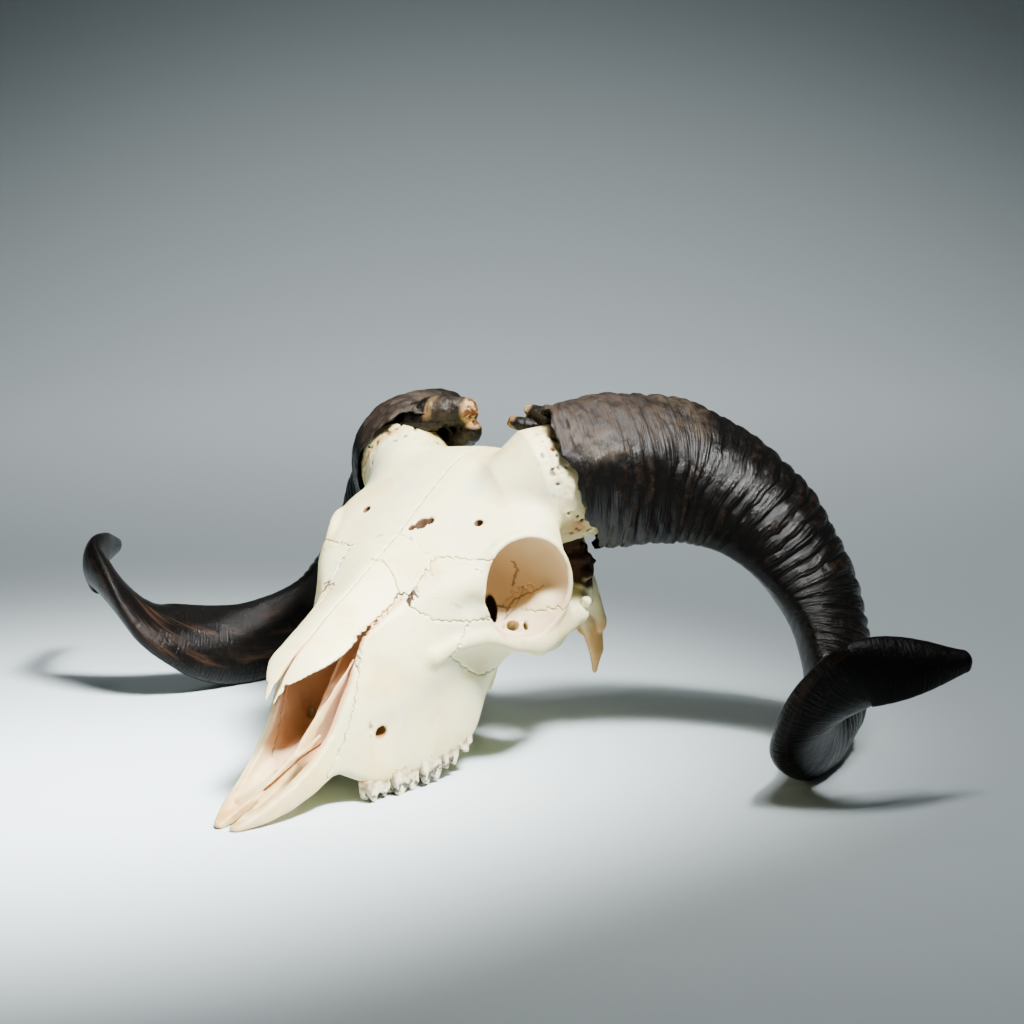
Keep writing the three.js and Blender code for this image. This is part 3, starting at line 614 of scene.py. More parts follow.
# %% Horn curve and section
HORN_ROOTS = {
    # share of length, x, y, z, half width, half thickness, turn
    "left": [(0, 37, 210.5, 109.5, 35.5, 29.8, 0), (0.0625, 61.4, 239.5, 110.2, 35.6, 27, -27),
             (0.125, 80.7, 270.8, 101.8, 36.3, 24, -37)],
    "right": [(0, 37.3, 212.6, 100, 32, 28, -5), (0.0625, 62.4, 235.9, 106.2, 33.3, 26.4, -35),
              (0.125, 78.2, 266.4, 98.9, 35.4, 23.2, -42)],
}
HORN_LENGTH = [
    (0.25, 114.4, 291.3, 74.6, 30.6, 21.9, -28), (0.375, 140.9, 294.5, 32.2, 26.1, 18.9, -25),
    (0.5, 160.8, 269.8, 0.9, 22.3, 15.5, -21), (0.625, 177.3, 222.7, -6.1, 21.2, 13, -15),
    (0.75, 195.8, 182.8, 14.7, 19.6, 9.2, -17), (0.875, 226.7, 176.4, 45.4, 16.4, 7.4, -21),
    (0.94, 243.5, 196.5, 46, 13.6, 6.6, -24), (1, 256.8, 221.9, 41.5, 6, 4.6, -27),
]
COIL_CENTRE = np.array((46, 265, 40))
COIL_AXIS_TURN, COIL_AXIS_DIP = -0.37, -0.06
COIL_AXIS = np.array((math.cos(COIL_AXIS_DIP) * math.cos(COIL_AXIS_TURN),
                      math.cos(COIL_AXIS_DIP) * math.sin(COIL_AXIS_TURN),
                      math.sin(COIL_AXIS_DIP)))
HORN_KEEL, HORN_FLATNESS, KEEL_SHARPNESS = 0.12, 0.1, 6
RIDGE_ROOM = 0.9
HORN_CURVES = {side: smooth([*root, *HORN_LENGTH]) for side, root in HORN_ROOTS.items()}
DIRECTION_STEP = 0.01
HORN_RIM_NORMAL = np.array((0.7, 0.663, 0.266))
HORN_RIM_NORMAL = HORN_RIM_NORMAL / np.linalg.norm(HORN_RIM_NORMAL)
HORN_RIM_DISTANCE = 210.3


def unit(vectors):
    return vectors / np.linalg.norm(vectors, axis=-1, keepdims=True)


def horn_frame(side, t):
    """Middle, direction, wide and thin axes and half sizes of the horn at each share t."""
    rows = HORN_CURVES[side](t)
    middle = rows[:, :3]
    ends = [HORN_CURVES[side](np.clip(t + d, 0, 1))[:, :3] for d in (-DIRECTION_STEP, DIRECTION_STEP)]
    along = unit(ends[1] - ends[0])
    outward = middle - COIL_CENTRE
    outward = outward - (outward @ COIL_AXIS)[:, None] * COIL_AXIS
    outward = unit(outward - (outward * along).sum(axis=1, keepdims=True) * along)
    sideways = np.cross(along, outward)
    turn = np.radians(rows[:, 5])[:, None]
    wide = outward * np.cos(turn) + sideways * np.sin(turn)
    return middle, along, wide, np.cross(along, wide), rows[:, 3], rows[:, 4]


def horn_points(side, t, angle):
    """Points on the smooth horn, for arrays t and angle of one shape (rows, columns)."""
    shape = t.shape
    middle, _, wide, thin, half, thick = horn_frame(side, t.ravel())
    half, thick = half - RIDGE_ROOM, thick - RIDGE_ROOM
    angle = angle.ravel()
    keel = 1 + HORN_KEEL * np.maximum(-np.cos(angle), 0) ** KEEL_SHARPNESS
    flat = 1 - HORN_FLATNESS * np.cos(angle) ** 2
    points = (middle + wide * (half * np.cos(angle) * keel)[:, None]
              + thin * (thick * np.sin(angle) * flat)[:, None])
    return points.reshape(*shape, 3)


# %% [markdown]
# ## Horn cores
#
# Each horn is a sheath over a blunt core of porous bone that grows out of the frontal bone. Only its
# root shows, below the rim of the sheath, so it is a short tapering form melted into the forehead.

# %% Cores in the clay
# share of the horn's length, share of its size, and how far it lies below the middle
HORN_CORE = [(-0.09, 0.32, 22), (-0.045, 0.68, 12), (0, 0.86, 4.5), (0.045, 0.85, 3), (0.09, 0.5, 3)]
CORE_BLEND = 6


def horn_core(side):
    """Distance to one bony core, in the clay's frame."""
    sign = SIDES[side]
    t = np.array([row[0] for row in HORN_CORE])
    inside = np.maximum(t, 0)
    middle, along, wide, thin, half, thick = horn_frame(side, inside)
    steps = HORN_CURVES[side](np.linspace(0, 1, 61))[:, :3]
    length = np.linalg.norm(np.diff(steps, axis=0), axis=1).sum()
    first = horn_frame(side, np.zeros(1))[1][0]
    middle = middle + first * ((t - inside) * length)[:, None]
    middle[:, 2] -= [row[2] for row in HORN_CORE]
    shares = np.array([row[1] for row in HORN_CORE])
    axis = unit(middle[-1] - middle[0])
    station = middle @ axis
    wide_axis = unit(wide[2] - (wide[2] @ axis) * axis)
    thin_axis = np.cross(axis, wide_axis)

    def form(x, y, z):
        x = x * sign
        along_axis = x * axis[0] + y * axis[1] + z * axis[2]
        centre = [np.interp(along_axis, station, middle[:, k]) for k in range(3)]
        a = sum((p - c) * w for p, c, w in zip((x, y, z), centre, wide_axis))
        b = sum((p - c) * w for p, c, w in zip((x, y, z), centre, thin_axis))
        reach_a = np.interp(along_axis, station, half * shares)
        reach_b = np.interp(along_axis, station, thick * shares)
        d = (np.sqrt((a / reach_a) ** 2 + (b / reach_b) ** 2) - 1) * np.minimum(reach_a, reach_b)
        caps = np.maximum(station[0] - along_axis, along_axis - station[-1])
        return soft_max(d, caps, CORE_BLEND)
    return form


CORE_BLOCKS = {"left": ((0, 175, 60), (86, 262, 136)), "right": ((-86, 175, 60), (0, 262, 136))}
cores = skull.values * 0 + FAR
for side, block in CORE_BLOCKS.items():
    cut, grid = skull.block(*block)
    cores[cut] = np.minimum(cores[cut], horn_core(side)(*grid).astype(np.float32))
# size in mm and seed
ROUGH_GRAIN, PIT_GRAIN = (2.4, 21), (2.5, 22)
rough, pits = skull.lumps(*ROUGH_GRAIN), skull.lumps(*PIT_GRAIN)

# %% [markdown]
# ## From clay to bones
#
# A skull is many bones that met along wavy sutures as the animal grew. Each bone has a ground in the
# side view. The clay is divided along the grounds' outlines, which are bent by a small zigzag first,
# and every bone becomes a closed mesh of its own with a hair-thin seam to its neighbours.

# %% Grounds of the bones
SEAM_HALF = 0.03
GROUNDS = {
    # bone: how far out from the midline it begins, and its side-view outline
    "zygomatic": (36, [(124, 49), (138, 61.5), (150, 60), (160, 55), (183, 53.2), (189, 56.6),
                       (192, 59), (195, 62.5), (204, 61.5), (207, 36), (190, 30), (150, 30)]),
    "lacrimal": (24, [(117, 73.5), (126, 80.5), (142, 90), (158, 86), (158, 61), (138, 61.5),
                      (123, 66)]),
    "frontal": (0, [(119.5, 78.5), (118, 100), (150, 150), (241, 150), (239, 92), (231, 73),
                    (220, 62), (204, 61.5), (195, 62.5), (192, 59), (189, 56.6), (183, 53.2),
                    (160, 55), (140, 66), (128, 75)]),
    "nasal": (0, [(36, 40), (36, 90), (118.2, 110), (119.5, 78.5), (112, 74.5), (98, 69.5),
                  (89, 66.5), (76, 59), (58, 50), (45, 44)]),
    "premaxilla": (0, [(-10, -10), (50, -10), (53, 10), (64, 22), (70.5, 32), (78, 45), (91, 68),
                       (40, 42), (-10, 40)]),
    "maxilla": (0, [(40, -20), (165, -20), (166, 20), (160, 57), (150, 80), (119.5, 120),
                    (40, 70)]),
}
NASION_REACH, NASION_HALF_WIDTH = 10, 20


def zigzag(x, y, z, phase):
    return (0.55 * np.sin(1.45 * z + 0.9 * x + 2.2 * np.sin(0.43 * y + phase))
            + 0.35 * np.sin(2.3 * y + 1.7 * x + 1.1 * z + phase))


def ground_distance(bone, x, y, z):
    """Distance to the border of a bone's ground, with its sutures bent, negative inside."""
    start, outline = GROUNDS[bone]
    tongue = NASION_REACH * np.maximum(1 - (x / NASION_HALF_WIDTH) ** 2, 0)
    near_nasion = fade(z, 60, 72) * fade(y, 90, 116)
    bent_y = y - tongue * near_nasion + zigzag(x, y, z, 0)
    bent_z = z + 0.7 * zigzag(x, z, y, 2)
    d = polygon(outline)(x, bent_y, bent_z)
    return np.maximum(d, start - np.abs(x)) if start else d


BOUNDS = {
    "zygomatic": ((33, 116, 20), (72, 216, 72)),
    "lacrimal": ((20, 110, 52), (60, 166, 98)),
    "frontal": ((-1.5, 112, 48), (86, 262, 136)),
    "nasal": ((-1.5, 30, 36), (26, 140, 98)),
    "premaxilla": ((-1.5, -3, -4), (28, 100, 76)),
    "maxilla": ((-1.5, 40, -15), (56, 172, 98)),
}
print("grounds:", ", ".join(GROUNDS))

# %% Helpers for pieces: sampling and meshes
SEAM_PAST_MIDDLE = 1.5
HALF_START = int(round((-SEAM_PAST_MIDDLE - skull.axes[0][0]) / STEP))


def sample(clay, values, points):
    """The grid's value at each point, blended between its eight neighbours."""
    place = (points - clay.low) / clay.step
    first = np.clip(np.floor(place).astype(int), 0, np.array(values.shape) - 2)
    t = np.clip(place - first, 0, 1)
    total = 0
    for corner in np.ndindex(2, 2, 2):
        weight = np.prod(np.where(corner, t, 1 - t), axis=1)
        total = total + weight * values[tuple((first + corner).T)]
    return total


def put_in_scene(name, data):
    thing = bpy.data.objects.new(name, data)
    bpy.context.scene.collection.objects.link(thing)
    return thing


def mesh_piece(name, points, quads, material, nodes, paints, sign=1):
    """A smooth-shaded piece in the room, with its painted attributes, standing for CAD nodes.

    A right-hand piece is given as its left-hand twin and sign -1."""
    mesh = bpy.data.meshes.new(name)
    mesh.vertices.add(len(points))
    mesh.vertices.foreach_set("co", to_room(points * (sign, 1, 1)).astype(np.float32).ravel())
    mesh.loops.add(quads.size)
    mesh.loops.foreach_set("vertex_index",
                           np.ascontiguousarray(quads[:, ::sign], np.int32).ravel())
    mesh.polygons.add(len(quads))
    mesh.polygons.foreach_set("loop_start", np.arange(len(quads), dtype=np.int32) * 4)
    mesh.polygons.foreach_set("use_smooth", np.ones(len(quads), bool))
    mesh.update(calc_edges=True)
    mesh.validate()
    for paint, values in paints.items():
        layer = mesh.attributes.new(paint, "FLOAT", "POINT")
        layer.data.foreach_set("value", np.ascontiguousarray(values, np.float32))
    mesh.materials.append(material)
    piece = put_in_scene(name, mesh)
    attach(piece, "root")
    if nodes:
        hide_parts(*nodes)
    print(f"{name}: {len(quads)} quads")
    return piece


# %% [markdown]
# ## Materials
#
# Dry bone is a matt, slightly waxy ivory. It is never one colour: sutures and rims hold a tan stain,
# the inside of the nose is rust brown where soft tissue dried, and the bone is peppered with tiny
# pores. The stains follow the anatomy, and so does the shade painted into the socket, the holes, the
# pits and the temple under the horn, so each bone carries painted attributes that say where they
# are, and the material adds the fine breakup.

# %% Colours and one node helper
def linear(hex_colour):
    parts = [int(hex_colour[i:i + 2], 16) / 255 for i in (1, 3, 5)]
    return (*(c / 12.92 if c <= 0.04045 else ((c + 0.055) / 1.055) ** 2.4 for c in parts), 1)


def fill(tree, node, inputs):
    """Gives sockets, by name or number, a value each or a link from another socket."""
    for key, value in inputs.items():
        if isinstance(value, bpy.types.NodeSocket):
            tree.links.new(value, node.inputs[key])
        else:
            node.inputs[key].default_value = value


def add(tree, kind, inputs=(), **settings):
    """Adds a node with its settings and inputs."""
    node = tree.nodes.new(kind)
    for key, value in settings.items():
        setattr(node, key, value)
    fill(tree, node, dict(inputs))
    return node


def new_material(name):
    material = bpy.data.materials.new(name)
    material.use_nodes = True
    tree = material.node_tree
    return material, tree, tree.nodes["Principled BSDF"]


EVERYWHERE = (-2, -1)  # a band below every pattern, so that a layer lies everywhere


def layered(tree, colours, layers):
    """Colours laid over the base in turn: each where its pattern lies in a band, at a strength."""
    colour = linear(colours["base"])
    for name, pattern, low, high, strength in layers:
        amount = add(tree, "ShaderNodeMapRange", {0: pattern, 1: low, 2: high, 4: strength},
                     interpolation_type="SMOOTHSTEP").outputs[0]
        colour = add(tree, "ShaderNodeMix", {0: amount, 6: colour, 7: linear(colours[name])},
                     data_type="RGBA").outputs[2]
    return colour


def bumps(tree, layers):
    """Bumps of [pattern, strength, height in metres] laid one over another."""
    under = {}
    for pattern, strength, height in layers:
        bump = add(tree, "ShaderNodeBump", {"Height": pattern, "Strength": strength,
                                            "Distance": height, **under})
        under = {"Normal": bump.outputs[0]}
    return bump.outputs[0]


# %% Dry bone
# the darkest brown is a stain behind the socket, and also painted shade: under the horn there, and in
# the holes, the slit and the pits
BONE_COLOURS = {"base": "#dbd29f", "cream": "#d0bb76", "grey": "#c5cbab", "flush_and_shade": "#cdb48c",
                "tan": "#b98b49", "rust": "#d4a980", "deep rust": "#b7845c", "dark_stain_and_shade": "#35251a",
                "seam": "#3d2b18"}
BONE_PAINTS = ("flush_and_shade", "tan", "rust", "dark_stain_and_shade", "seam", "seam_dark")
# size in mm, detail and roughness of the cloudy stains and of the fine speckle
BONE_NOISES = [(30, 5, 0.6), (4, 6, 0.65)]
PORE_SPACING_MM = 3.2
PER_METRE = 1000.0


def dry_bone():
    material, tree, shader = new_material("dry_bone")
    place = add(tree, "ShaderNodeTexCoord").outputs["Object"]
    paint = {name: add(tree, "ShaderNodeAttribute", attribute_name=name).outputs["Fac"]
             for name in BONE_PAINTS}
    clouds, speckle = (
        add(tree, "ShaderNodeTexNoise", {"Vector": place, "Scale": PER_METRE / size, "Detail": detail,
                                         "Roughness": roughness}).outputs["Fac"]
        for size, detail, roughness in BONE_NOISES)
    pores = add(tree, "ShaderNodeTexVoronoi",
                {"Vector": place, "Scale": PER_METRE / PORE_SPACING_MM}).outputs["Distance"]
    pore_walls = add(tree, "ShaderNodeMapRange", {0: pores, 1: 0.02, 2: 0.16},
                     interpolation_type="SMOOTHSTEP").outputs[0]
    frayed_seam = add(tree, "ShaderNodeMath", {0: speckle, 1: -0.9, 2: paint["seam"]},
                      operation="MULTIPLY_ADD").outputs[0]
    colour = layered(tree, BONE_COLOURS, [
        ("cream", clouds, 0.5, 0.68, 0.75),
        ("grey", clouds, 0.46, 0.32, 0.8),
        # the socket's own pinkish beige, and painted shade on its wall
        ("flush_and_shade", clouds, -0.1, 0.55, paint["flush_and_shade"]),
        ("tan", speckle, 0.1, 0.5, paint["tan"]),
        ("rust", clouds, *EVERYWHERE, paint["rust"]),
        ("deep rust", clouds, 0.48, 0.68, paint["rust"]),
        # darkest brown: stain behind the socket, and painted shade there under the horn and in the holes
        # and pits
        ("dark_stain_and_shade", clouds, *EVERYWHERE, paint["dark_stain_and_shade"]),
        ("seam", frayed_seam, 0.05, -0.2, paint["seam_dark"]),
    ])
    fill(tree, shader, {
        "Base Color": colour,
        "Roughness": add(tree, "ShaderNodeMapRange", {0: speckle, 3: 0.4, 4: 0.66}).outputs[0],
        "Specular IOR Level": add(tree, "ShaderNodeMapRange",
                                  {0: paint["dark_stain_and_shade"], 3: 0.5, 4: 0.04}).outputs[0],
        "Subsurface Weight": 0.05,
        "Subsurface Radius": (1.0, 0.6, 0.35),
        "Subsurface Scale": 0.002,
        "IOR": 1.5,
        "Normal": bumps(tree, [(speckle, 0.28, 0.0005), (pore_walls, 0.2, 0.0003)]),
    })
    return material


BONE = dry_bone()

# %% [markdown]
# ## Paint the bones
#
# Every point of a bone knows where it is in the skull, so stains can be placed by anatomy: a warm
# flush in the socket that is partly painted shade, tan on the rims and worn tips, rust inside the nose,
# a dark stain behind the socket that also paints the shade under the horn, painted shade in the holes,
# the slit and the pits, and a thin dark line along each suture.

# %% Where the stains and the painted shade lie
# a pair says where a stain or a painted shade begins and where it is full: across a border, or as a
# height or depth
PATCHES = (-0.1, 0.5)
NOSE_WALL_DEPTH, NOSE_END, NOSE_FLOOR_EDGE, RUST_FROM = (1.7, 2.5), (132, 126), 1.5, (38, 74)
# the socket's beige: its own colour, and painted shade on the wall, less on the lit swelling
BOWL_EDGE, SWELLING_EDGE, FLUSH_AND_SHADE_DEPTH = (1.09, 1.02), (3, 0), (8, 3)
RIM_BAND, RIM_SIDE = (3, 0.5), (-2, 2)
MUZZLE_TIPS = (66, 4)
SPINE_HEIGHT, SPINE_BACK, SPINE_OUTSIDE = (42, 14), (236, 240), (28, 31)
SHEATH_BAND, SHEATH_HEIGHT, SHEATH_PATCHES = (9, 0), (80, 90), (-0.4, 0.5)
TEMPLE_CORNER, CORNER_BAND = (66, 205, 82), (16, 5)
GROOVE_BAND, GROOVE_BACK, GROOVE_FRONT = (2.6, 0.6), (100, 60), (30, 40)
GAP_BAND, GAP_DEPTH = (2, 0.6), (0.4, 1.2)
HOLE_BAND, HOLE_DEPTH, DEEP_IN_HOLE = (1.3, 0.2), (0.2, 0.9), (1, 3)
# the dark patch behind each socket: a dark stain, and painted shade where the horn overhangs the temple
TEMPLE_STAIN_AND_SHADE_CENTRE, TEMPLE_STAIN_AND_SHADE_REACH, TEMPLE_STAIN_AND_SHADE_EDGE = np.array((44, 231, 67)), np.array((18, 17, 18)), (1.15, 0.85)
SLIT_EDGE, PINHOLE_BAND, PINHOLE_MOUTH = (0.8, 0), 2.4, (0, 0.4)
PIT_LUMPS, PIT_FROM_RIM, PIT_HEIGHT, PIT_END = (0.4, 0.52), (-16, -8), (78, 86), (6, 2)
# how strong each stain is, and how dark each painted shade is
TAN_AMOUNTS = {"socket rim": 0.45, "muzzle tips": 1, "ear spines": 1.3, "sheath rim": 0.8,
               "temple corner": 1.2, "nasal groove": 0.6, "nasal gap": 0.6, "nose": 0.3}
# how dark the painted shade is inside the broken hole, the slit, the cheek canal, the brow hole, the
# pinholes and the pits; the gap rust and the canal tan are stains
GAP_RUST, BREAK_SHADE, SLIT_SHADE, CANAL_SHADE = 0.9, 0.94, 0.9, 0.4
BROW_HOLE_SHADE, PINHOLE_SHADE, PIT_SHADE, CANAL_TAN = 0.82, 0.8, 0.75, 0.6
# sutures that show: [x, y, z] of a place on one, how far it counts, and how dark it is
DARK_SUTURES = [((24, 119, 78), 8, 1), ((36, 131, 83), 10, 1), ((47, 141, 88), 9, 0.9),
                ((40, 133, 64), 10, 0.45), ((64, 186, 61), 9, 0.6), ((20, 74, 40), 30, 0.25),
                ((0, 165, 106), 45, 0.5), ((0, 90, 75), 45, 0.5)]
FAINT_SUTURE, SUTURE_DEPTH, NO_SEAM = 0.06, (3, 1), 3.0
# lines of [x, y, z] on the inner wall of the socket, each drawn in short steps
SUTURE_STEPS, SUTURE_WOBBLE_MM, SUTURE_SEED = 6, 0.4, 5
SUTURE_REACH, SUTURE_HALF, SUTURE_DARK, IN_SOCKET = 2, 0.01, 0.6, 0.5
SOCKET_SUTURES = [
    [(29.1, 180.7, 54.4), (33.6, 183.3, 53.1), (35.7, 189.2, 56.6), (43.2, 192.2, 59),
     (49.1, 193.5, 62.8)],
    [(31.5, 193.5, 73), (33.4, 194.2, 68.4), (31.5, 191.6, 61.4)],
    [(33.6, 183.3, 53.1), (37.3, 175.9, 49.9)],
]


def near_rod(rows, where, thick=None):
    """Distance from each point of where to a rod, for rows on the animal's left."""
    rows = [(*row[:3], thick, thick) if thick else row for row in rows]
    return rod(rows)(*where.T)


def jagged(rows):
    """A line of [x, y, z] cut into short steps that stray a little from it."""
    random = np.random.default_rng(SUTURE_SEED)
    shares = np.linspace(0, len(rows) - 1, SUTURE_STEPS * len(rows))
    line = np.transpose([np.interp(shares, range(len(rows)), axis) for axis in np.transpose(rows)])
    return line + random.normal(0, SUTURE_WOBBLE_MM, line.shape)


def on_socket_ball(places):
    """Places moved straight away from the socket's middle onto one ball round it."""
    from_middle = np.asarray(places) - ORBIT_CENTRE
    distances = np.linalg.norm(from_middle, axis=1, keepdims=True)
    return ORBIT_CENTRE + ORBIT_RADIUS * from_middle / distances


def bone_paints(points, sign):
    x, y, z = points.T
    left = points * (sign, 1, 1)
    depth = -sample(skull, outer, points)
    noise = sample(skull, skull_lumps, points)
    cavity_floor = np.interp(y, cavity_rows[:, 0], cavity_rows[:, 2])
    nose = (fade(depth, *NOSE_WALL_DEPTH) * fade(y, *NOSE_END)
            * fade(z, cavity_floor - NOSE_FLOOR_EDGE, cavity_floor))
    from_centre = left - ORBIT_CENTRE
    out = from_centre @ ORBIT_OUTWARD
    away = np.linalg.norm(from_centre - out[:, None] * ORBIT_OUTWARD, axis=1)
    in_bowl = fade(np.hypot(away / ORBIT_RADIUS, (out - ORBIT_LIFT) / ORBIT_DEPTH), *BOWL_EDGE)
    swelling = fade(near_rod(OPTIC_SWELLING, left), *SWELLING_EDGE)
    # the socket wall's beige is partly its own colour, partly painted shade; the lit swelling keeps less
    # of it
    flush_and_shade = in_bowl * fade(out, *FLUSH_AND_SHADE_DEPTH) * (1 - 0.4 * swelling)
    rim_gap = left @ HORN_RIM_NORMAL - HORN_RIM_DISTANCE
    gap = fade(near_rod(NASAL_GAP, left), *GAP_BAND)
    cheek_hole, brow_hole = (fade(near_rod(hole_rows(*hole), left), *HOLE_BAND)
                             * fade(depth, *HOLE_DEPTH) for hole in FORAMINA)
    broken = np.max([fade(near_rod(hole_rows(*hole), points), *HOLE_BAND) for hole in BREAK], axis=0)
    broken = broken * fade(depth, *HOLE_DEPTH)
    tan_places = {
        "socket rim": (fade(np.abs(away - ORBIT_RADIUS - 1), *RIM_BAND) * fade(out, *RIM_SIDE)
                       * fade(noise, *PATCHES)),
        "muzzle tips": fade(y, *MUZZLE_TIPS) * (0.8 + 0.5 * noise),
        "ear spines": (fade(z, *SPINE_HEIGHT) * fade(y, *SPINE_BACK)
                       * fade(np.abs(x), *SPINE_OUTSIDE)),
        "sheath rim": (fade(np.abs(rim_gap + 2), *SHEATH_BAND) * fade(z, *SHEATH_HEIGHT)
                       * fade(noise, *SHEATH_PATCHES)),
        "temple corner": fade(np.linalg.norm(left - TEMPLE_CORNER, axis=1), *CORNER_BAND),
        "nasal groove": (fade(np.abs(x), *GROOVE_BAND) * fade(y, *GROOVE_BACK)
                         * fade(y, *GROOVE_FRONT)),
        "nasal gap": gap,
        "nose": nose * fade(y, 14, 40),
    }
    tan = sum(TAN_AMOUNTS[name] * amount for name, amount in tan_places.items())
    tan = tan + CANAL_TAN * cheek_hole
    rust = np.max([nose * fade(y + 6 * noise, *RUST_FROM), GAP_RUST * gap * fade(depth, *GAP_DEPTH),
                   broken, brow_hole], axis=0) * (1 - cheek_hole)
    # the dark patch behind the socket is partly stain, partly painted shade under the horn
    from_temple_stain_and_shade = np.linalg.norm((left - TEMPLE_STAIN_AND_SHADE_CENTRE) / TEMPLE_STAIN_AND_SHADE_REACH, axis=1) + 0.3 * noise
    pit = (fade(sample(skull, pits, points), *PIT_LUMPS) * fade(rim_gap, *PIT_FROM_RIM)
           * fade(z, *PIT_HEIGHT) * fade(rim_gap, *PIT_END))
    pinholes = np.max([fade(np.linalg.norm(points - place, axis=1), radius * PINHOLE_BAND, radius)
                       for place, radius in PINHOLES], axis=0)
    # painted shade inside the broken hole, the slit, the cheek canal, the brow hole, the pinholes and
    # the pits, with the dark patch behind the socket
    dark_stain_and_shade = np.max([
        fade(from_temple_stain_and_shade, *TEMPLE_STAIN_AND_SHADE_EDGE),
        BREAK_SHADE * broken,
        SLIT_SHADE * fade(near_rod(SOCKET_SLIT, left), *SLIT_EDGE),
        CANAL_SHADE * cheek_hole * fade(depth, *DEEP_IN_HOLE),
        BROW_HOLE_SHADE * brow_hole,
        PINHOLE_SHADE * pinholes * fade(depth, *PINHOLE_MOUTH),
        PIT_SHADE * pit,
    ], axis=0)
    seam, dark = suture_paints(points, left, depth, in_bowl)
    return {"flush_and_shade": np.clip(flush_and_shade, 0, 1), "tan": np.clip(tan, 0, 1), "rust": np.clip(rust, 0, 1),
            "dark_stain_and_shade": np.clip(dark_stain_and_shade, 0, 1), "seam": seam, "seam_dark": dark}


def suture_paints(points, left, depth, in_bowl):
    """How far each point is from a suture, and how dark that suture is."""
    x, y, z = np.abs(points[:, 0]), points[:, 1], points[:, 2]
    seam = np.min([np.abs(ground_distance(bone, x, y, z)) for bone in GROUNDS], axis=0)
    seam = np.minimum(seam, np.minimum(NO_SEAM, x))
    dark = np.max([amount * fade(np.linalg.norm(left - place, axis=1), reach, reach * 0.6)
                   for place, reach, amount in DARK_SUTURES], axis=0)
    dark = np.maximum(dark, FAINT_SUTURE) * fade(depth, *SUTURE_DEPTH) * (1 - in_bowl)
    seam = np.where(in_bowl > IN_SOCKET, NO_SEAM, seam)
    on_ball = on_socket_ball(left)
    for rows in SOCKET_SUTURES:
        inner = near_rod(on_socket_ball(jagged(rows)), on_ball, SUTURE_HALF)
        inner = inner + NO_SEAM * (1 - in_bowl)
        dark = np.where(inner < SUTURE_REACH, np.maximum(dark, SUTURE_DARK), dark)
        seam = np.minimum(seam, np.maximum(inner, 0))
    return seam, dark


# %% Cut the clay into bones
STAIN_GRAIN = (5, 31)
skull_lumps = skull.lumps(*STAIN_GRAIN)
half_axes = [skull.axes[0][HALF_START:], skull.axes[1], skull.axes[2]]
ground_fields = {}
for bone, (low, high) in BOUNDS.items():
    cut = tuple(slice(*np.searchsorted(axis, (a, b))) for axis, a, b in zip(half_axes, low, high))
    grid = np.meshgrid(*(axis[part] for axis, part in zip(half_axes, cut)), indexing="ij",
                       sparse=True)
    field = np.full([len(axis) for axis in half_axes], FAR, np.float32)
    field[cut] = ground_distance(bone, *grid)
    ground_fields[bone] = (cut, field)
print("grounds measured")


def half_of(values, sign):
    """The left half of the block, or the right half seen in a mirror."""
    return values[HALF_START:] if sign > 0 else values[::-1][HALF_START:]


# the midline seam wanders only behind the nose
WOBBLE_FROM = (120, 135)
CORE_ROOT_BLEND, PITTED_STRIP, PITTED_END = 6, (-15, -6), (8, 2)
ROUGH_HEIGHT, PIT_DEPTH, PIT_START = 0.3, 5, 0.42
wobble = 0.35 * np.sin(0.9 * skull.axes[1]) + 0.25 * np.sin(2.1 * skull.axes[1] + 1)
wobble = (wobble * fade(skull.axes[1], *WOBBLE_FROM))[None, :, None]

for side, sign in SIDES.items():
    body = half_of(skull.values, sign)
    past_middle = SEAM_HALF - half_axes[0][:, None, None] + sign * wobble
    taken = []
    for bone in GROUNDS:
        cut, field = ground_fields[bone]
        values = np.maximum(body[cut], field[cut] + SEAM_HALF)
        for other in taken:
            values = np.maximum(values, SEAM_HALF - ground_fields[other][1][cut])
        near_axes = [axis[part] for axis, part in zip(half_axes, cut)]
        if bone == "frontal":
            x, y, z = np.meshgrid(*near_axes, indexing="ij", sparse=True)
            rim_gap = (x * HORN_RIM_NORMAL[0] + y * HORN_RIM_NORMAL[1] + z * HORN_RIM_NORMAL[2]
                       - HORN_RIM_DISTANCE)
            strip = fade(rim_gap, *PITTED_STRIP) * fade(rim_gap, *PITTED_END)
            bumpy = ROUGH_HEIGHT * half_of(rough, sign)[cut]
            bumpy = bumpy + PIT_DEPTH * np.maximum(half_of(pits, sign)[cut] - PIT_START, 0)
            values = soft_min(values, half_of(cores, sign)[cut], CORE_ROOT_BLEND) + strip * bumpy
        values = np.maximum(values, past_middle[cut[0], cut[1]])
        points, quads = surface(values, np.array([axis[0] for axis in near_axes]), STEP)
        mesh_piece(f"bone_{bone}_{side}", points, quads, BONE, [f"{bone}_{side}"],
                   bone_paints(points * (sign, 1, 1), sign), sign)
        taken.append(bone)

# %% The braincase is what remains
rest = skull.values.copy()
for bone, (cut, field) in ground_fields.items():
    for sign in SIDES.values():
        target = half_of(rest, sign)
        target[:] = np.maximum(target, SEAM_HALF - field)
rest = np.maximum(rest, SEAM_HALF - cores)
# where each part begins and ends, from the muzzle back
BRAINCASE_PARTS = {"bone_palate_base": (-np.inf, 204), "bone_braincase": (204, np.inf)}
for name, (start, end) in BRAINCASE_PARTS.items():
    y = skull.axes[1][None, :, None]
    part = np.maximum(rest, np.maximum(start - y, y - end) + SEAM_HALF)
    points, quads = surface(part, skull.low, STEP)
    paints, mirror_paints = bone_paints(points, 1), bone_paints(points, -1)
    paints = {paint: np.where(points[:, 0] >= 0, paints[paint], mirror_paints[paint])
              for paint in paints}
    mesh_piece(name, points, quads, BONE, ["braincase"], paints)

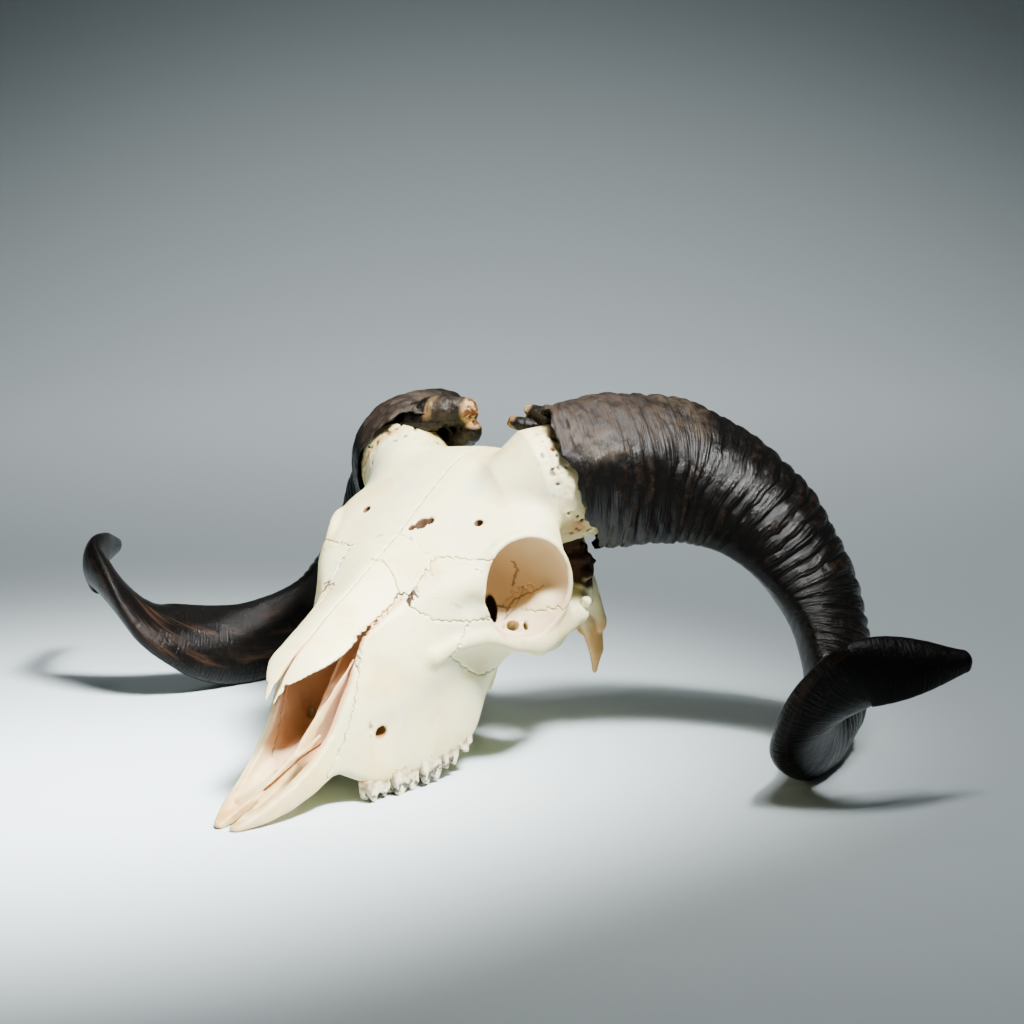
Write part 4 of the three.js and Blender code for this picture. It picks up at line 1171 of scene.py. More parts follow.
# %% [markdown]
# ## Cheek teeth
#
# A sheep's cheek teeth are tall and folded: each has sharp upright ribs on its outer face and worn
# crescents below. They are cut from finer clay than the bones, as five broad units with stained
# gaps between them, and set into the upper jaw.

# %% Tooth enamel
TOOTH_COLOURS = {"base": "#ddd0a8", "shade": "#b09b6e", "stain": "#33271b", "root": "#91703f"}


# size in mm, detail and roughness of the dark spots and of the cloudy shade
TOOTH_NOISES = [(3.2, 2, 0.5), (7, 4, 0.6)]


def tooth_enamel():
    material, tree, shader = new_material("tooth_enamel")
    place = add(tree, "ShaderNodeTexCoord").outputs["Object"]
    paint = {name: add(tree, "ShaderNodeAttribute", attribute_name=name).outputs["Fac"]
             for name in ("valley", "neck", "spots")}
    stains, clouds = (
        add(tree, "ShaderNodeTexNoise", {"Vector": place, "Scale": PER_METRE / size, "Detail": detail,
                                         "Roughness": roughness}).outputs["Fac"]
        for size, detail, roughness in TOOTH_NOISES)
    spots = add(tree, "ShaderNodeMapRange", {0: stains, 1: 0.48, 2: 0.53, 4: paint["spots"]},
                interpolation_type="SMOOTHSTEP").outputs[0]
    dark = add(tree, "ShaderNodeMath", {0: spots, 1: paint["valley"]},
               operation="MAXIMUM").outputs[0]
    colour = layered(tree, TOOTH_COLOURS, [
        ("shade", clouds, 0.46, 0.7, 0.7),
        ("root", clouds, 0.42, 0.62, paint["neck"]),
        ("stain", clouds, *EVERYWHERE, dark),
    ])
    fill(tree, shader, {"Base Color": colour, "Roughness": 0.32, "IOR": 1.6,
                        "Normal": bumps(tree, [(clouds, 0.3, 0.0005)])})
    return material


ENAMEL = tooth_enamel()

# %% Cut the tooth rows
TOOTH_STEP = 0.4
# length along the row and width, from front to back
TEETH = [(15.5, 9), (18.5, 11), (15, 12), (12.5, 12), (10.5, 11)]
TEETH_LOW, TEETH_HIGH = (12, 70, -14), (40, 150, 5)
ROW_FRONT, ROW_LENGTH, TOOTH_GAP, ROW_BOW = 72, 74, 0.35, 1.6
ROW_OUTER_FRONT, ROW_OUTER_BACK, TOOTH_TOP, TWO_LOBED = 28, 34.5, 3, 12
TOOTH_CROWN = smooth([(72, -6.4), (90, -10), (106, -12), (125, -9.5), (146, -4)])
# where the ribs of a long and of a short tooth stand, as shares of its half length
LONG_RIBS, SHORT_RIBS, RIB_HEIGHT, RIB_WIDTH = (-0.86, 0, 0.86), (-0.8, 0.1, 0.8), 0.8, 0.12
WAIST, WAIST_WIDTH, INNER_ROUNDING, FACE_DEPTH = 0.28, 0.16, 0.3, 0.5
CUSP_HEIGHT, NARROWING, FOLD_AT, FOLD_WIDTH, FOLD_DEPTH = 3.6, 0.16, 0.42, 0.13, 2.4
GAP_STAIN, STAIN_AMOUNT = 0.75, 0.8


def tooth(front, length, width):
    """Distance to one tooth of the left row, and how stained each point is."""
    middle = front + length / 2
    row_share = (middle - ROW_FRONT) / ROW_LENGTH
    outer_face = (ROW_OUTER_FRONT + (ROW_OUTER_BACK - ROW_OUTER_FRONT) * row_share
                  + ROW_BOW * math.sin(math.pi * row_share))
    crown = TOOTH_CROWN(middle)[0, 0]
    lobed = length > TWO_LOBED
    ribs = LONG_RIBS if lobed else SHORT_RIBS

    def form(x, y, z):
        a = (y - middle) / (length / 2)
        face = outer_face - FACE_DEPTH
        for rib in ribs:
            face = face + RIB_HEIGHT * np.exp(-((a - rib) / RIB_WIDTH) ** 2)
        waist = WAIST * np.exp(-(a / WAIST_WIDTH) ** 2) if lobed else 0
        inner = outer_face - width * (1 - waist - INNER_ROUNDING * a ** 4)
        across = (outer_face - x) / width
        cusp = np.sin(math.pi * a) ** 2 if lobed else np.cos(math.pi * a / 2) ** 2
        valley = np.exp(-((across - FOLD_AT) / FOLD_WIDTH) ** 2)
        bottom = crown + CUSP_HEIGHT * (1 - cusp) + FOLD_DEPTH * valley
        low = fade(z, 0, crown)
        ends = np.abs(y - middle) - (length / 2) * (1 - NARROWING * low)
        d = soft_max(soft_max(x - face, inner - x, 1), ends, 1)
        between = GAP_STAIN * fade(-ends, 0.8, 0.1) * fade(z, 1, -1)
        stained = np.maximum(valley * fade(z, -3, -6), between)
        return soft_max(soft_max(d, bottom - z, 0.9), z - TOOTH_TOP, 1), stained
    return form


teeth_clay = Clay(TEETH_LOW, TEETH_HIGH, TOOTH_STEP)
valleys = np.zeros_like(teeth_clay.values)
front = ROW_FRONT
for length, width in TEETH:
    cut, grid = teeth_clay.block((TEETH_LOW[0], front - 2, TEETH_LOW[2]),
                                 (TEETH_HIGH[0], front + length + 2, TEETH_HIGH[2]))
    d, stained = tooth(front, length, width)(*grid)
    nearer = d < teeth_clay.values[cut]
    valleys[cut] = np.where(nearer, stained, valleys[cut])
    teeth_clay.values[cut] = np.minimum(teeth_clay.values[cut], d)
    front += length + TOOTH_GAP
WEAR_HEIGHT, WEAR_SIZE, WEAR_SEED = 0.3, 2.6, 41
for side, sign in SIDES.items():
    worn = WEAR_HEIGHT * teeth_clay.lumps(WEAR_SIZE, WEAR_SEED + sign)
    points, quads = surface(teeth_clay.values + worn, teeth_clay.low, TOOTH_STEP)
    crown_share = points[:, 2] / TOOTH_CROWN(points[:, 1])[:, 0]
    paints = {"valley": STAIN_AMOUNT * sample(teeth_clay, valleys, points),
              "neck": fade(crown_share, 0.35, 0.1),
              "spots": fade(np.abs(crown_share - 0.62), 0.3, 0.12)}
    mesh_piece(f"cheek_teeth_{side}", points, quads, ENAMEL, [f"maxilla_{side}"], paints,
               sign)

# %% [markdown]
# ## Inside the nose
#
# A thin upright blade, the vomer, divides the nose, and paper-thin scrolls of bone hang from the
# left wall. They show through the open front, pale against the rust brown of the cavity.

# %% Vomer and scrolls
NOSE_STEP = 0.5
VOMER = [(32, 10.5), (60, 15.5), (90, 17.5), (104, 20.5), (104, 62), (90, 47), (74, 30), (58, 20),
         (40, 14)]
VOMER_HALF = 0.9
NOSE_PIECES_BLOCK = ((-20, 30, 6), (20, 116, 70))
NOSE_TAN, RUST_REACH = 0.6, 30
# rows of [x, y, z, half thickness, half height]
SCROLLS = [
    [(12.5, 40, 22.8, 0.5, 1.2), (13, 52, 29, 0.6, 3), (13, 62, 36, 0.6, 3.2), (13, 76, 45, 0.5, 2),
     (12.5, 90, 54, 0.4, 0.8)],
    [(13.5, 42.5, 24, 0.5, 0.8), (13.2, 52, 25.2, 0.6, 1.5), (12.8, 60, 27.5, 0.4, 0.9)],
]
# forms, the CAD node they stand for, size, height and seed of the lumps, and where rust begins
blade = polygon(VOMER)
NOSE_PIECES = {
    "vomer_blade": ([lambda x, y, z: soft_max(
        blade(x, y, z), np.abs(x + 0.5 * np.sin(y / 9)) - VOMER_HALF, 0.8)], ["vomer"], 4, 0.15, 51, 38),
    "nose_scrolls": ([rod(rows) for rows in SCROLLS], [], 5, 0.2, 52, 60),
}
for name, (forms, nodes, size, height, seed, pale) in NOSE_PIECES.items():
    nose_clay = Clay(*NOSE_PIECES_BLOCK, NOSE_STEP)
    for form in forms:
        nose_clay.join(*NOSE_PIECES_BLOCK, form, 0.3)
    nose_clay.values += height * nose_clay.lumps(size, seed)
    points, quads = surface(nose_clay.values, nose_clay.low, NOSE_STEP)
    y = points[:, 1]
    paints = {"flush_and_shade": 0 * y, "tan": NOSE_TAN + 0 * y, "rust": fade(y, pale, pale + RUST_REACH),
              "dark_stain_and_shade": 0 * y, "seam": NO_SEAM + 0 * y, "seam_dark": 0 * y}
    mesh_piece(name, points, quads, BONE, nodes, paints)

# %% [markdown]
# ## The horns
#
# A sheath is a smooth sweep first: rings of points along the horn's curve, starting where the worn
# rim cuts it. Each point keeps how far along and how far round the horn it lies. Geometry Nodes then
# raise the yearly ridges from the first of the two numbers, because they repeat by a rule, and the
# material draws the fine cracks from both.

# %% Horn keratin
# the brown goes on the ridge crests, so the crevices between them stay darker as painted shade
HORN_COLOURS = {"base": "#090807", "brown": "#251a11", "bark": "#2b2118", "bark grey": "#3d352a",
                "streak": "#33241a", "edge": "#a98858", "edge dark": "#41260f"}


HORN_PAINTS = ("along", "around", "bark", "crest", "inner", "ridged", "worn")
# how far each grain is squeezed along the horn and round it, with its detail and roughness
HORN_GRAIN = [((0.03, 16, 0), 3, 0.5), ((0.05, 90, 0), 4, 0.6), ((0.75, 5, 0), 3, 0.6)]
# size in mm, detail and roughness of the flecks and of the clouds
HORN_NOISES = [(5, 8, 0.7), (40, 4, 0.6)]


def horn_keratin():
    material, tree, shader = new_material("horn_keratin")
    place = add(tree, "ShaderNodeTexCoord").outputs["Object"]
    paint = {name: add(tree, "ShaderNodeAttribute", attribute_name=name).outputs["Fac"]
             for name in HORN_PAINTS}
    grown = add(tree, "ShaderNodeCombineXYZ", {0: paint["along"], 1: paint["around"]}).outputs[0]
    squeezed = [(add(tree, "ShaderNodeVectorMath", {0: grown, 1: squeeze},
                     operation="MULTIPLY").outputs[0], 1.0, detail, roughness)
                for squeeze, detail, roughness in HORN_GRAIN]
    even = [(place, PER_METRE / size, detail, roughness) for size, detail, roughness in HORN_NOISES]
    brush, fibres, rings, flecks, clouds = (
        add(tree, "ShaderNodeTexNoise", {"Vector": where, "Scale": scale, "Detail": detail,
                                         "Roughness": roughness}).outputs["Fac"]
        for where, scale, detail, roughness in squeezed + even)
    streaks = add(tree, "ShaderNodeMapRange", {0: fibres, 1: 0.35, 2: 0.7, 4: paint["inner"]},
                  interpolation_type="SMOOTHSTEP").outputs[0]
    flaking = add(tree, "ShaderNodeMapRange", {0: flecks, 1: 0.28, 2: 0.62},
                  interpolation_type="SMOOTHSTEP").outputs[0]
    clouded = add(tree, "ShaderNodeMath", {0: clouds, 1: 1.6, 2: paint["bark"]},
                  operation="MULTIPLY_ADD").outputs[0]
    bark = add(tree, "ShaderNodeMapRange", {0: clouded, 1: 1.0, 2: 1.75, 4: flaking},
               interpolation_type="SMOOTHSTEP").outputs[0]
    colour = layered(tree, HORN_COLOURS, [
        # brown on the ridge crests: painted shade that leaves the crevices darker
        ("brown", flecks, 0.45, 0.68, paint["crest"]),
        ("streak", brush, 0.46, 0.7, streaks),
        ("bark", clouds, *EVERYWHERE, bark),
        ("bark grey", clouds, 0.45, 0.65, bark),
        ("edge", clouds, *EVERYWHERE, paint["worn"]),
        ("edge dark", flecks, 0.56, 0.48, paint["worn"]),
    ])
    shine = add(tree, "ShaderNodeMapRange", {0: flecks, 3: 0.08, 4: 0.38}).outputs[0]
    fill(tree, shader, {
        "Base Color": colour,
        "Roughness": add(tree, "ShaderNodeMath", {0: paint["bark"], 1: 0.4, 2: shine},
                         operation="MULTIPLY_ADD", use_clamp=True).outputs[0],
        "Specular IOR Level": add(tree, "ShaderNodeMapRange",
                                  {0: paint["ridged"], 3: 0.08, 4: 0.3}).outputs[0],
        "IOR": 1.5,
        "Normal": bumps(tree, [(fibres, 0.3, 0.0006), (rings, 0.75, 0.0011),
                               (flecks, 0.5, 0.001)]),
    })
    return material


HORN = horn_keratin()

# %% [markdown]
# ### Growth ridges in Geometry Nodes
#
# The tree reads how far along the horn each point lies and how ridged and barked it is, turns the
# distance along the horn into a row of rounded ridges, bends the rows a little with noise and pushes
# the surface out along its normal. A slower noise makes some ridges strong and some weak, as good and
# poor seasons did.

# %% Build the ridge tree
RIDGE_SPACING_MM = 7.3
RIDGE_HEIGHT_MM = 1.35
BARK_HEIGHT_MM = 4.2
SWELL_HEIGHT_MM = 0.8
RIDGE_INPUTS = ("Spacing", "Height", "Bark height", "Swell", "Seed")
# size in mm and detail of each noise
RIDGE_NOISES = {"bend": (36, 3.0), "weather": (24, 2.0), "flakes": (9, 5.0), "waves": (30, 1.0)}
# a step's name, what it does, and its terms: numbers, inputs, attributes, noises or earlier steps
RIDGE_STEPS = [
    ("straight rows", "DIVIDE", "along", "Spacing"),
    ("rows", "MULTIPLY_ADD", "bend", 3.0, "straight rows"),
    ("half turns", "MULTIPLY", "rows", math.pi),
    ("swing", "SINE", "half turns"),
    ("arch", "ABSOLUTE", "swing"),
    ("round arch", "POWER", "arch", 0.8),
    ("even ridge", "SUBTRACT", "round arch", 0.6),
    ("slow turns", "MULTIPLY", "rows", 2 * math.pi / 4.3),
    ("seasons", "SINE", "slow turns"),
    ("ridge", "MULTIPLY_ADD", "seasons", 0.3, "even ridge"),
    ("strength", "MULTIPLY_ADD", "weather", 3.4, 0.8),
    ("main ridge", "MULTIPLY", "ridge", "strength"),
    ("quick turns", "MULTIPLY", "rows", 3.37 * math.pi),
    ("quick swing", "SINE", "quick turns"),
    ("fine arch", "ABSOLUTE", "quick swing"),
    ("all ridges", "MULTIPLY_ADD", "fine arch", 0.22, "main ridge"),
    ("height here", "MULTIPLY", "Height", "ridged"),
    ("raised", "MULTIPLY", "all ridges", "height here"),
    ("bark share", "ADD", "bark", 0.1),
    ("bark here", "MULTIPLY", "Bark height", "bark share"),
    ("flaked", "MULTIPLY_ADD", "flakes", "bark here", "raised"),
    ("swell here", "MULTIPLY", "Swell", 2.0),
    ("push in mm", "MULTIPLY_ADD", "waves", "swell here", "flaked"),
    ("push", "MULTIPLY", "push in mm", MM),
]


def ridge_tree():
    tree = bpy.data.node_groups.new("growth_ridges", "GeometryNodeTree")
    tree.interface.new_socket("Geometry", in_out="OUTPUT", socket_type="NodeSocketGeometry")
    tree.interface.new_socket("Geometry", in_out="INPUT", socket_type="NodeSocketGeometry")
    for name in RIDGE_INPUTS:
        tree.interface.new_socket(name, in_out="INPUT", socket_type="NodeSocketFloat")
    tree.interface.new_socket("Material", in_out="INPUT", socket_type="NodeSocketMaterial")
    given = add(tree, "NodeGroupInput").outputs
    terms = {name: given[name] for name in RIDGE_INPUTS}
    for name in ("along", "bark", "ridged"):
        terms[name] = add(tree, "GeometryNodeInputNamedAttribute", {0: name},
                          data_type="FLOAT").outputs[0]
    place = add(tree, "GeometryNodeInputPosition").outputs[0]
    for name, (size, detail) in RIDGE_NOISES.items():
        noise = add(tree, "ShaderNodeTexNoise", {"Vector": place, "W": given["Seed"],
                                                 "Scale": PER_METRE / size, "Detail": detail},
                    noise_dimensions="4D")
        terms[name] = add(tree, "ShaderNodeMath", {0: noise.outputs[0], 1: 0.5},
                          operation="SUBTRACT").outputs[0]
    for name, operation, *wanted in RIDGE_STEPS:
        inputs = {socket: terms.get(term, term) for socket, term in enumerate(wanted)}
        terms[name] = add(tree, "ShaderNodeMath", inputs, operation=operation).outputs[0]
    normal = add(tree, "GeometryNodeInputNormal").outputs[0]
    offset = add(tree, "ShaderNodeVectorMath", {0: normal, "Scale": terms["push"]},
                 operation="SCALE").outputs[0]
    moved = add(tree, "GeometryNodeSetPosition", {"Geometry": given["Geometry"], "Offset": offset})
    # the ridge tops are stored as crest, where the material's brown leaves the crevices darker as
    # painted shade
    top = add(tree, "ShaderNodeMapRange", {0: terms["ridge"], 1: -0.1, 2: 0.4, 4: terms["ridged"]},
              interpolation_type="SMOOTHSTEP").outputs[0]
    crest = add(tree, "GeometryNodeStoreNamedAttribute",
                {"Geometry": moved.outputs[0], "Name": "crest", "Value": top},
                data_type="FLOAT", domain="POINT")
    real = add(tree, "GeometryNodeRealizeInstances", {0: crest.outputs[0]})
    dressed = add(tree, "GeometryNodeSetMaterial", {"Geometry": real.outputs[0],
                                                    "Material": given["Material"]})
    add(tree, "NodeGroupOutput", {0: dressed.outputs[0]})
    return tree


RIDGES = ridge_tree()


def with_ridges(piece, height, seed):
    """Runs the ridge tree on a piece and keeps the result as its plain mesh."""
    modifier = piece.modifiers.new("ridges", "NODES")
    modifier.node_group = RIDGES
    wanted = {"Spacing": RIDGE_SPACING_MM, "Height": height, "Bark height": BARK_HEIGHT_MM,
              "Swell": SWELL_HEIGHT_MM, "Seed": float(seed), "Material": HORN}
    for socket in RIDGES.interface.items_tree:
        if socket.in_out == "INPUT" and socket.name in wanted:
            modifier[socket.identifier] = wanted[socket.name]
    view = bpy.context.evaluated_depsgraph_get()
    mesh = bpy.data.meshes.new_from_object(piece.evaluated_get(view))
    corners = np.empty(len(mesh.vertices) * 3, np.float32)
    mesh.vertices.foreach_get("co", corners)
    corners = np.clip(corners.reshape(-1, 3), *CAD_BOX)
    mesh.vertices.foreach_set("co", corners.ravel())
    mesh.update()
    piece.modifiers.clear()
    piece.data = mesh
    return piece


# %% Sweep the sheaths
HORN_THIRDS = [0, 0.34, 0.67, 1]
HORN_AROUND = 176
HORN_ROWS = [270, 270, 160]
SEAM_SHARE = -0.0008
# how far the rim turns in, in mm, and how far along the horn, before the sheath closes deep inside
RIM_FOLD = [(0.35, 0.0), (1.5, 0.004), (3.2, 0.03)]
FLOOR_SHARE, FLOOR_SIZE = 0.06, 0.5
# height in mm, waves round the rim and phase of its raggedness
RAGGED_RIM = [(1.3, 5, 1), (0.8, 11, 0), (0.5, 23, 2)]
RIM_SEARCH, RIM_STEPS, LENGTH_STEPS = 0.2, 240, 400
RIDGE_SEEDS = {"left": 3, "right": 8}
TIP_REACH, TIP_RINGS = 4.2, 8
RIDGES_END = {"left": (0.7, 0.52), "right": (0.54, 0.36)}


def rim_shares(side, angle):
    """Where each line along the horn crosses the plane of the sheath's worn rim."""
    t = np.linspace(0, RIM_SEARCH, RIM_STEPS)
    points = horn_points(side, *np.meshgrid(t, angle, indexing="ij"))
    past = points @ HORN_RIM_NORMAL - HORN_RIM_DISTANCE
    past = past - sum(high * np.sin(waves * angle + phase) for high, waves, phase in RAGGED_RIM)
    last = (past < 0).shape[0] - 1 - np.argmax((past < 0)[::-1], axis=0)
    return t[np.minimum(last + 1, len(t) - 1)]


def horn_length_to(side, t):
    """Millimetres along the middle line from the root to each share t."""
    fine = np.linspace(0, 1, LENGTH_STEPS)
    steps = HORN_CURVES[side](fine)[:, :3]
    length = np.concatenate([[0], np.cumsum(np.linalg.norm(np.diff(steps, axis=0), axis=1))])
    return np.interp(t, fine, length)


def sheath(side, third):
    """Rings of points of one third of a sheath, closed at both ends, and its painted numbers."""
    angle = np.linspace(0, 2 * math.pi, HORN_AROUND, endpoint=False)
    start = HORN_THIRDS[third] + (SEAM_SHARE if third else 0)
    end = HORN_THIRDS[third + 1] - (SEAM_SHARE if third < 2 else 0)
    first = rim_shares(side, angle) if third == 0 else np.full(HORN_AROUND, start)
    share = np.linspace(0, 1, HORN_ROWS[third])[:, None]
    t = first + (end - first) * share
    around = np.broadcast_to(angle, t.shape)
    rings = list(horn_points(side, t, around))
    shares = list(t)
    middle, along, *_ = horn_frame(side, np.array([start, end]))
    if third == 0:
        for inset, back in RIM_FOLD:
            ring = horn_points(side, (first + back)[None], angle[None])[0]
            centre = horn_frame(side, first + back)[0]
            toward = unit(centre - ring)
            rings.insert(0, ring + toward * inset)
            shares.insert(0, first + back)
        deep = horn_frame(side, first + FLOOR_SHARE)[0]
        rings.insert(0, deep + (rings[0] - deep) * FLOOR_SIZE)
        shares.insert(0, first + FLOOR_SHARE)
    if third == 2:
        tip_ring = rings[-1]
        for bend in np.linspace(0, math.pi / 2, TIP_RINGS + 1)[1:-1]:
            rings.append(middle[1] + (tip_ring - middle[1]) * math.cos(bend)
                         + along[1] * TIP_REACH * math.sin(bend))
            shares.append(shares[-1])
    points = np.concatenate([*rings, [rings[0].mean(axis=0)], [rings[-1].mean(axis=0)]])
    shares = np.concatenate([*shares, [shares[0].mean(), shares[-1].mean()]])
    turns = np.concatenate([*[angle] * len(rings), [0, 0]])
    index = np.arange(len(rings) * HORN_AROUND).reshape(len(rings), HORN_AROUND)
    after = np.roll(index, -1, axis=1)
    quads = np.stack([index[:-1], after[:-1], after[1:], index[1:]], axis=-1).reshape(-1, 4)
    first_cap = [(index[0, j], len(points) - 2, after[0, j + 1], after[0, j])
                 for j in range(0, HORN_AROUND - 1, 2)]
    last_cap = [(index[-1, j], after[-1, j], after[-1, j + 1], len(points) - 1)
                for j in range(0, HORN_AROUND - 1, 2)]
    quads = np.concatenate([quads, np.array(first_cap), np.array(last_cap)])
    return points, quads, shares, turns


# shares of the length, or how far a point faces up or inwards, where each paint begins and is full
BARK_END, BARK_UP, MEDIAL = (0.18, 0.05), (0.05, 0.95), (0.1, 0.5)
RIDGES_RISE, MEDIAL_FROM, INNER_FROM = (0.1, 0.3), (0.02, 0.2), (0.45, 0.6)
MEDIAL_X, MEDIAL_Y, SMOOTH_MEDIAL, LEAST_RIDGE = -0.85, -0.5, 0.9, 0.05
FOLDED_RINGS = len(RIM_FOLD) + 1


def horn_paints(side, points, shares, turns, third):
    middle = horn_frame(side, np.clip(shares, 0, 1))[0]
    outward = unit(points - middle)
    bark = fade(shares, *BARK_END) * fade(outward[:, 2], *BARK_UP)
    medial = fade(MEDIAL_X * outward[:, 0] + MEDIAL_Y * outward[:, 1], *MEDIAL)
    shell = np.ones(len(points))
    if third == 0:
        shell[:HORN_AROUND * FOLDED_RINGS] = 0
        shell[-2:] = 0
    ridged = ((fade(shares, *RIDGES_END[side]) * (1 - LEAST_RIDGE) + LEAST_RIDGE)
              * (0.8 + 0.2 * fade(shares, *RIDGES_RISE))
              * (1 - SMOOTH_MEDIAL * medial * fade(shares, *MEDIAL_FROM)))
    return {"along": horn_length_to(side, shares), "around": turns / (2 * math.pi),
            "bark": bark * shell, "ridged": ridged * shell,
            "inner": medial * fade(shares, *INNER_FROM), "worn": 0 * shares}


THIRD_NAMES = ["base", "middle", "tip"]
for side, sign in SIDES.items():
    for third, third_name in enumerate(THIRD_NAMES):
        points, quads, shares, turns = sheath(side, third)
        paints = horn_paints(side, points, shares, turns, third)
        piece = mesh_piece(f"horn_sheath_{third_name}_{side}", points, quads, HORN,
                           [f"horn_{third_name}_{side}"], paints, sign)
        with_ridges(piece, RIDGE_HEIGHT_MM, RIDGE_SEEDS[side])

# %% [markdown]
# ### The worn lip
#
# Where the two horns nearly meet over the forehead, the inner lip of each sheath has worn into
# tough fingers with pale ends on the left, and into one thick roll on the right.

# %% Fingers of the inner lip
LIP_STEP = 0.6
# rows of [x, y, z, half width, half height]; the last row is the worn end
LIP_STUBS = {
    "left": [
        [(50, 249, 120, 10, 8), (30, 240, 126.5, 6, 4.4), (11.5, 231, 130.5, 3.6, 3)],
        [(52, 246, 126, 10, 8), (34, 239, 132, 6, 4.6), (17.5, 236, 135.5, 3.2, 2.8)],
        [(46, 246, 112, 9, 8), (32, 241, 119, 7, 5.5), (21, 237, 124, 4, 4)],
    ],
    "right": [
        [(58, 224, 120, 9, 10), (46, 228, 128, 8, 8.5), (35, 234, 131, 7.5, 8),
         (25, 240, 131, 6.5, 7)],
        [(46, 247, 112, 8, 8), (30, 244, 118, 6, 8), (23, 241, 121, 5, 6)],
    ],
}
LIP_LOW, LIP_HIGH = (2, 206, 98), (72, 264, 148)
LIP_BLEND = 1.5
# height in mm, size in mm and seed of the fraying
LIP_LUMPS = [(0.8, 4.5, 61), (0.3, 1.6, 63)]
WORN_STUBS, WORN_FROM = {"left": 2, "right": 1}, {"left": (2.6, 0.5), "right": (-1, -4.5)}
WORN_BAND_X, WORN_BAND, WORN_BAND_TOP, WORN_BAND_AMOUNT = 37, (2.4, 1), (128, 133), 0.25
LIP_Y, LIP_Z, LIP_TURN = 240, 128, 6
LIP_BARK_TOP, LIP_BARK, LIP_GLOSS, LIP_CREST = (126, 134), 0.3, 0.4, 0.5
for side, sign in SIDES.items():
    lip_clay = Clay(LIP_LOW, LIP_HIGH, LIP_STEP)
    for rows in LIP_STUBS[side]:
        lip_clay.join(LIP_LOW, LIP_HIGH, rod(rows), LIP_BLEND)
    frayed = sum(height * lip_clay.lumps(size, seed + sign) for height, size, seed in LIP_LUMPS)
    points, quads = surface(lip_clay.values + frayed, lip_clay.low, LIP_STEP)
    x, y, z = points.T
    worn = 0 * x
    for rows in LIP_STUBS[side][:WORN_STUBS[side]]:
        end_x, end_y, end_z, _, size = rows[-1]
        worn = np.maximum(worn, fade(x - end_x, *WORN_FROM[side])
                          * fade(np.hypot(y - end_y, z - end_z), 1.3 * size, 0.9 * size))
    if side == "right":
        band = fade(np.abs(x - WORN_BAND_X), *WORN_BAND) * fade(z, *WORN_BAND_TOP)
        worn = np.maximum(worn, WORN_BAND_AMOUNT * band)
    paints = {"along": x, "around": np.arctan2(z - LIP_Z, y - LIP_Y) / LIP_TURN,
              "bark": LIP_BARK * fade(z, *LIP_BARK_TOP), "ridged": LIP_GLOSS + 0 * x,
              "crest": LIP_CREST + 0 * x, "inner": 0 * x, "worn": worn}
    mesh_piece(f"horn_lip_{side}", points, quads, HORN, [f"horn_base_{side}"], paints, sign)

# %% [markdown]
# ## The studio
#
# A pale sheet sweeps up behind the skull. A soft key light hangs in front of it and to the right, a
# weak one spills over the floor, and a third makes the sheet glow. The camera looks down on the left
# side of the face from 1.5 m away with a long lens.

# %% Floor, light and camera
CAMERA_PLACE = np.array((936.01, -1010.96, 535.72))
CAMERA_RIGHT = np.array((0.81222039, 0.57673782, -0.0875872))
CAMERA_DOWN = np.array((0.09385377, -0.27738372, -0.95616408))
CAMERA_FORWARD = np.array((-0.57575125, 0.76839558, -0.27942573))
CAMERA_LENS_MM, SENSOR_MM, FARTHEST_SEEN = 115.49, 36, 50
tilt = Matrix.Rotation(PITCH, 3, "X")
axes = [tilt @ Vector(axis) for axis in (CAMERA_RIGHT, -CAMERA_DOWN, -CAMERA_FORWARD)]
camera_data = bpy.data.cameras.new("camera")
camera_data.lens = CAMERA_LENS_MM
camera_data.sensor_width = SENSOR_MM
camera_data.clip_end = FARTHEST_SEEN
camera = put_in_scene("camera", camera_data)
camera.matrix_world = Matrix([[*(axis[k] for axis in axes), to_room([CAMERA_PLACE])[0][k]]
                              for k in range(3)] + [[0, 0, 0, 1]])
bpy.context.scene.camera = camera

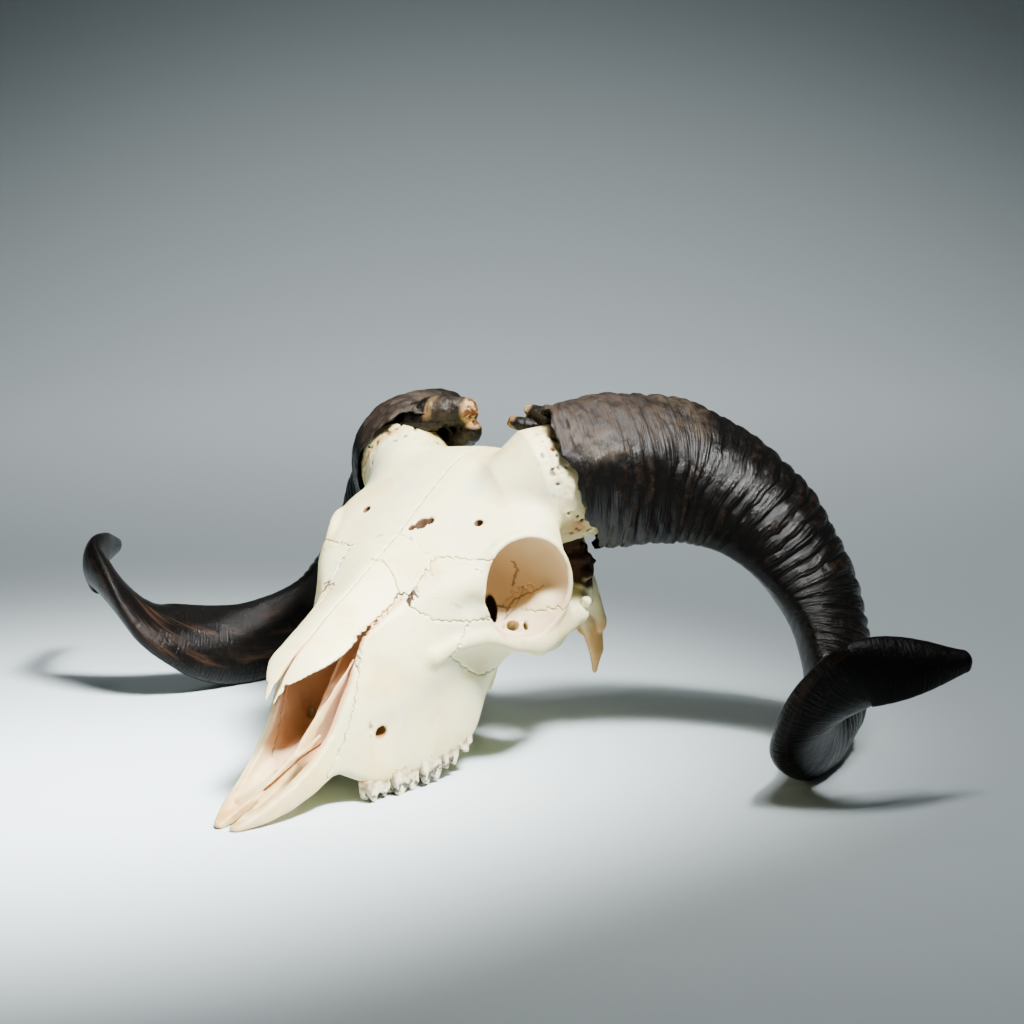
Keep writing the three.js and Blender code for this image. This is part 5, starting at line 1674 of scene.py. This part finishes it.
SWEEP_WIDTH, SWEEP_FRONT, SWEEP_BACK, SWEEP_RADIUS, SWEEP_TOP = 8.0, -2.5, 1.2, 1.1, 3.5
SWEEP_STEPS = 24
PAPER_COLOUR, PAPER_ROUGHNESS = "#c6d3d6", 0.75
AIR_COLOUR, AIR_STRENGTH = "#c8cdd0", 0.1
heading = Vector((camera.matrix_world.col[2][0], camera.matrix_world.col[2][1])) * -1
heading.normalize()
sideways = Vector((heading[1], -heading[0]))
profile = [(SWEEP_FRONT, 0.0), (SWEEP_BACK, 0.0)]
for step in range(1, SWEEP_STEPS + 1):
    bend = math.pi / 2 * step / SWEEP_STEPS
    profile.append((SWEEP_BACK + SWEEP_RADIUS * math.sin(bend),
                    SWEEP_RADIUS * (1 - math.cos(bend))))
profile.append((SWEEP_BACK + SWEEP_RADIUS, SWEEP_TOP))
corners = [(*(heading * depth + sideways * across), up) for depth, up in profile
           for across in (-SWEEP_WIDTH / 2, SWEEP_WIDTH / 2)]
sweep_mesh = bpy.data.meshes.new("paper_sweep")
sweep_mesh.from_pydata(corners, [], [(2 * k, 2 * k + 1, 2 * k + 3, 2 * k + 2)
                                     for k in range(len(profile) - 1)])
sweep_mesh.polygons.foreach_set("use_smooth", [True] * len(sweep_mesh.polygons))
paper, paper_tree, paper_shader = new_material("matt_paper")
fill(paper_tree, paper_shader, {"Base Color": linear(PAPER_COLOUR), "Roughness": PAPER_ROUGHNESS})
sweep_mesh.materials.append(paper)
put_in_scene("paper_sweep", sweep_mesh)


def area_light(name, place, aim, size, power, spread):
    data = bpy.data.lights.new(name, "AREA")
    data.shape = "RECTANGLE"
    data.size, data.size_y = size
    data.energy = power
    data.spread = math.radians(spread)
    light = put_in_scene(name, data)
    light.location = place
    light.rotation_euler = (Vector(aim) - Vector(place)).to_track_quat("-Z", "Y").to_euler()


def in_view(right, ahead, up):
    """A place given by how far right of the skull, beyond it and above the floor it is."""
    flat = sideways * right + heading * ahead
    return (flat[0], flat[1], up)


LIGHTS = {
    # where it hangs, where it aims, its size in metres, watts, and the spread of its beam in degrees
    "key_box": (in_view(0.26, -0.45, 0.88), in_view(-0.16, -0.03, 0), (0.4, 0.16), 4.2, 30),
    "key_spill": (in_view(0.26, -0.3, 0.9), in_view(0.14, 0.05, 0), (0.4, 0.16), 2, 110),
    "backdrop_glow": (in_view(0, 1.15, 1.5), in_view(0, 1.1, 0), (0.5, 0.5), 3.8, 78),
}
for name, settings in LIGHTS.items():
    area_light(name, *settings)
world = bpy.data.worlds.new("studio_air")
world.use_nodes = True
fill(world.node_tree, world.node_tree.nodes["Background"],
     {"Color": linear(AIR_COLOUR), "Strength": AIR_STRENGTH})
bpy.context.scene.world = world
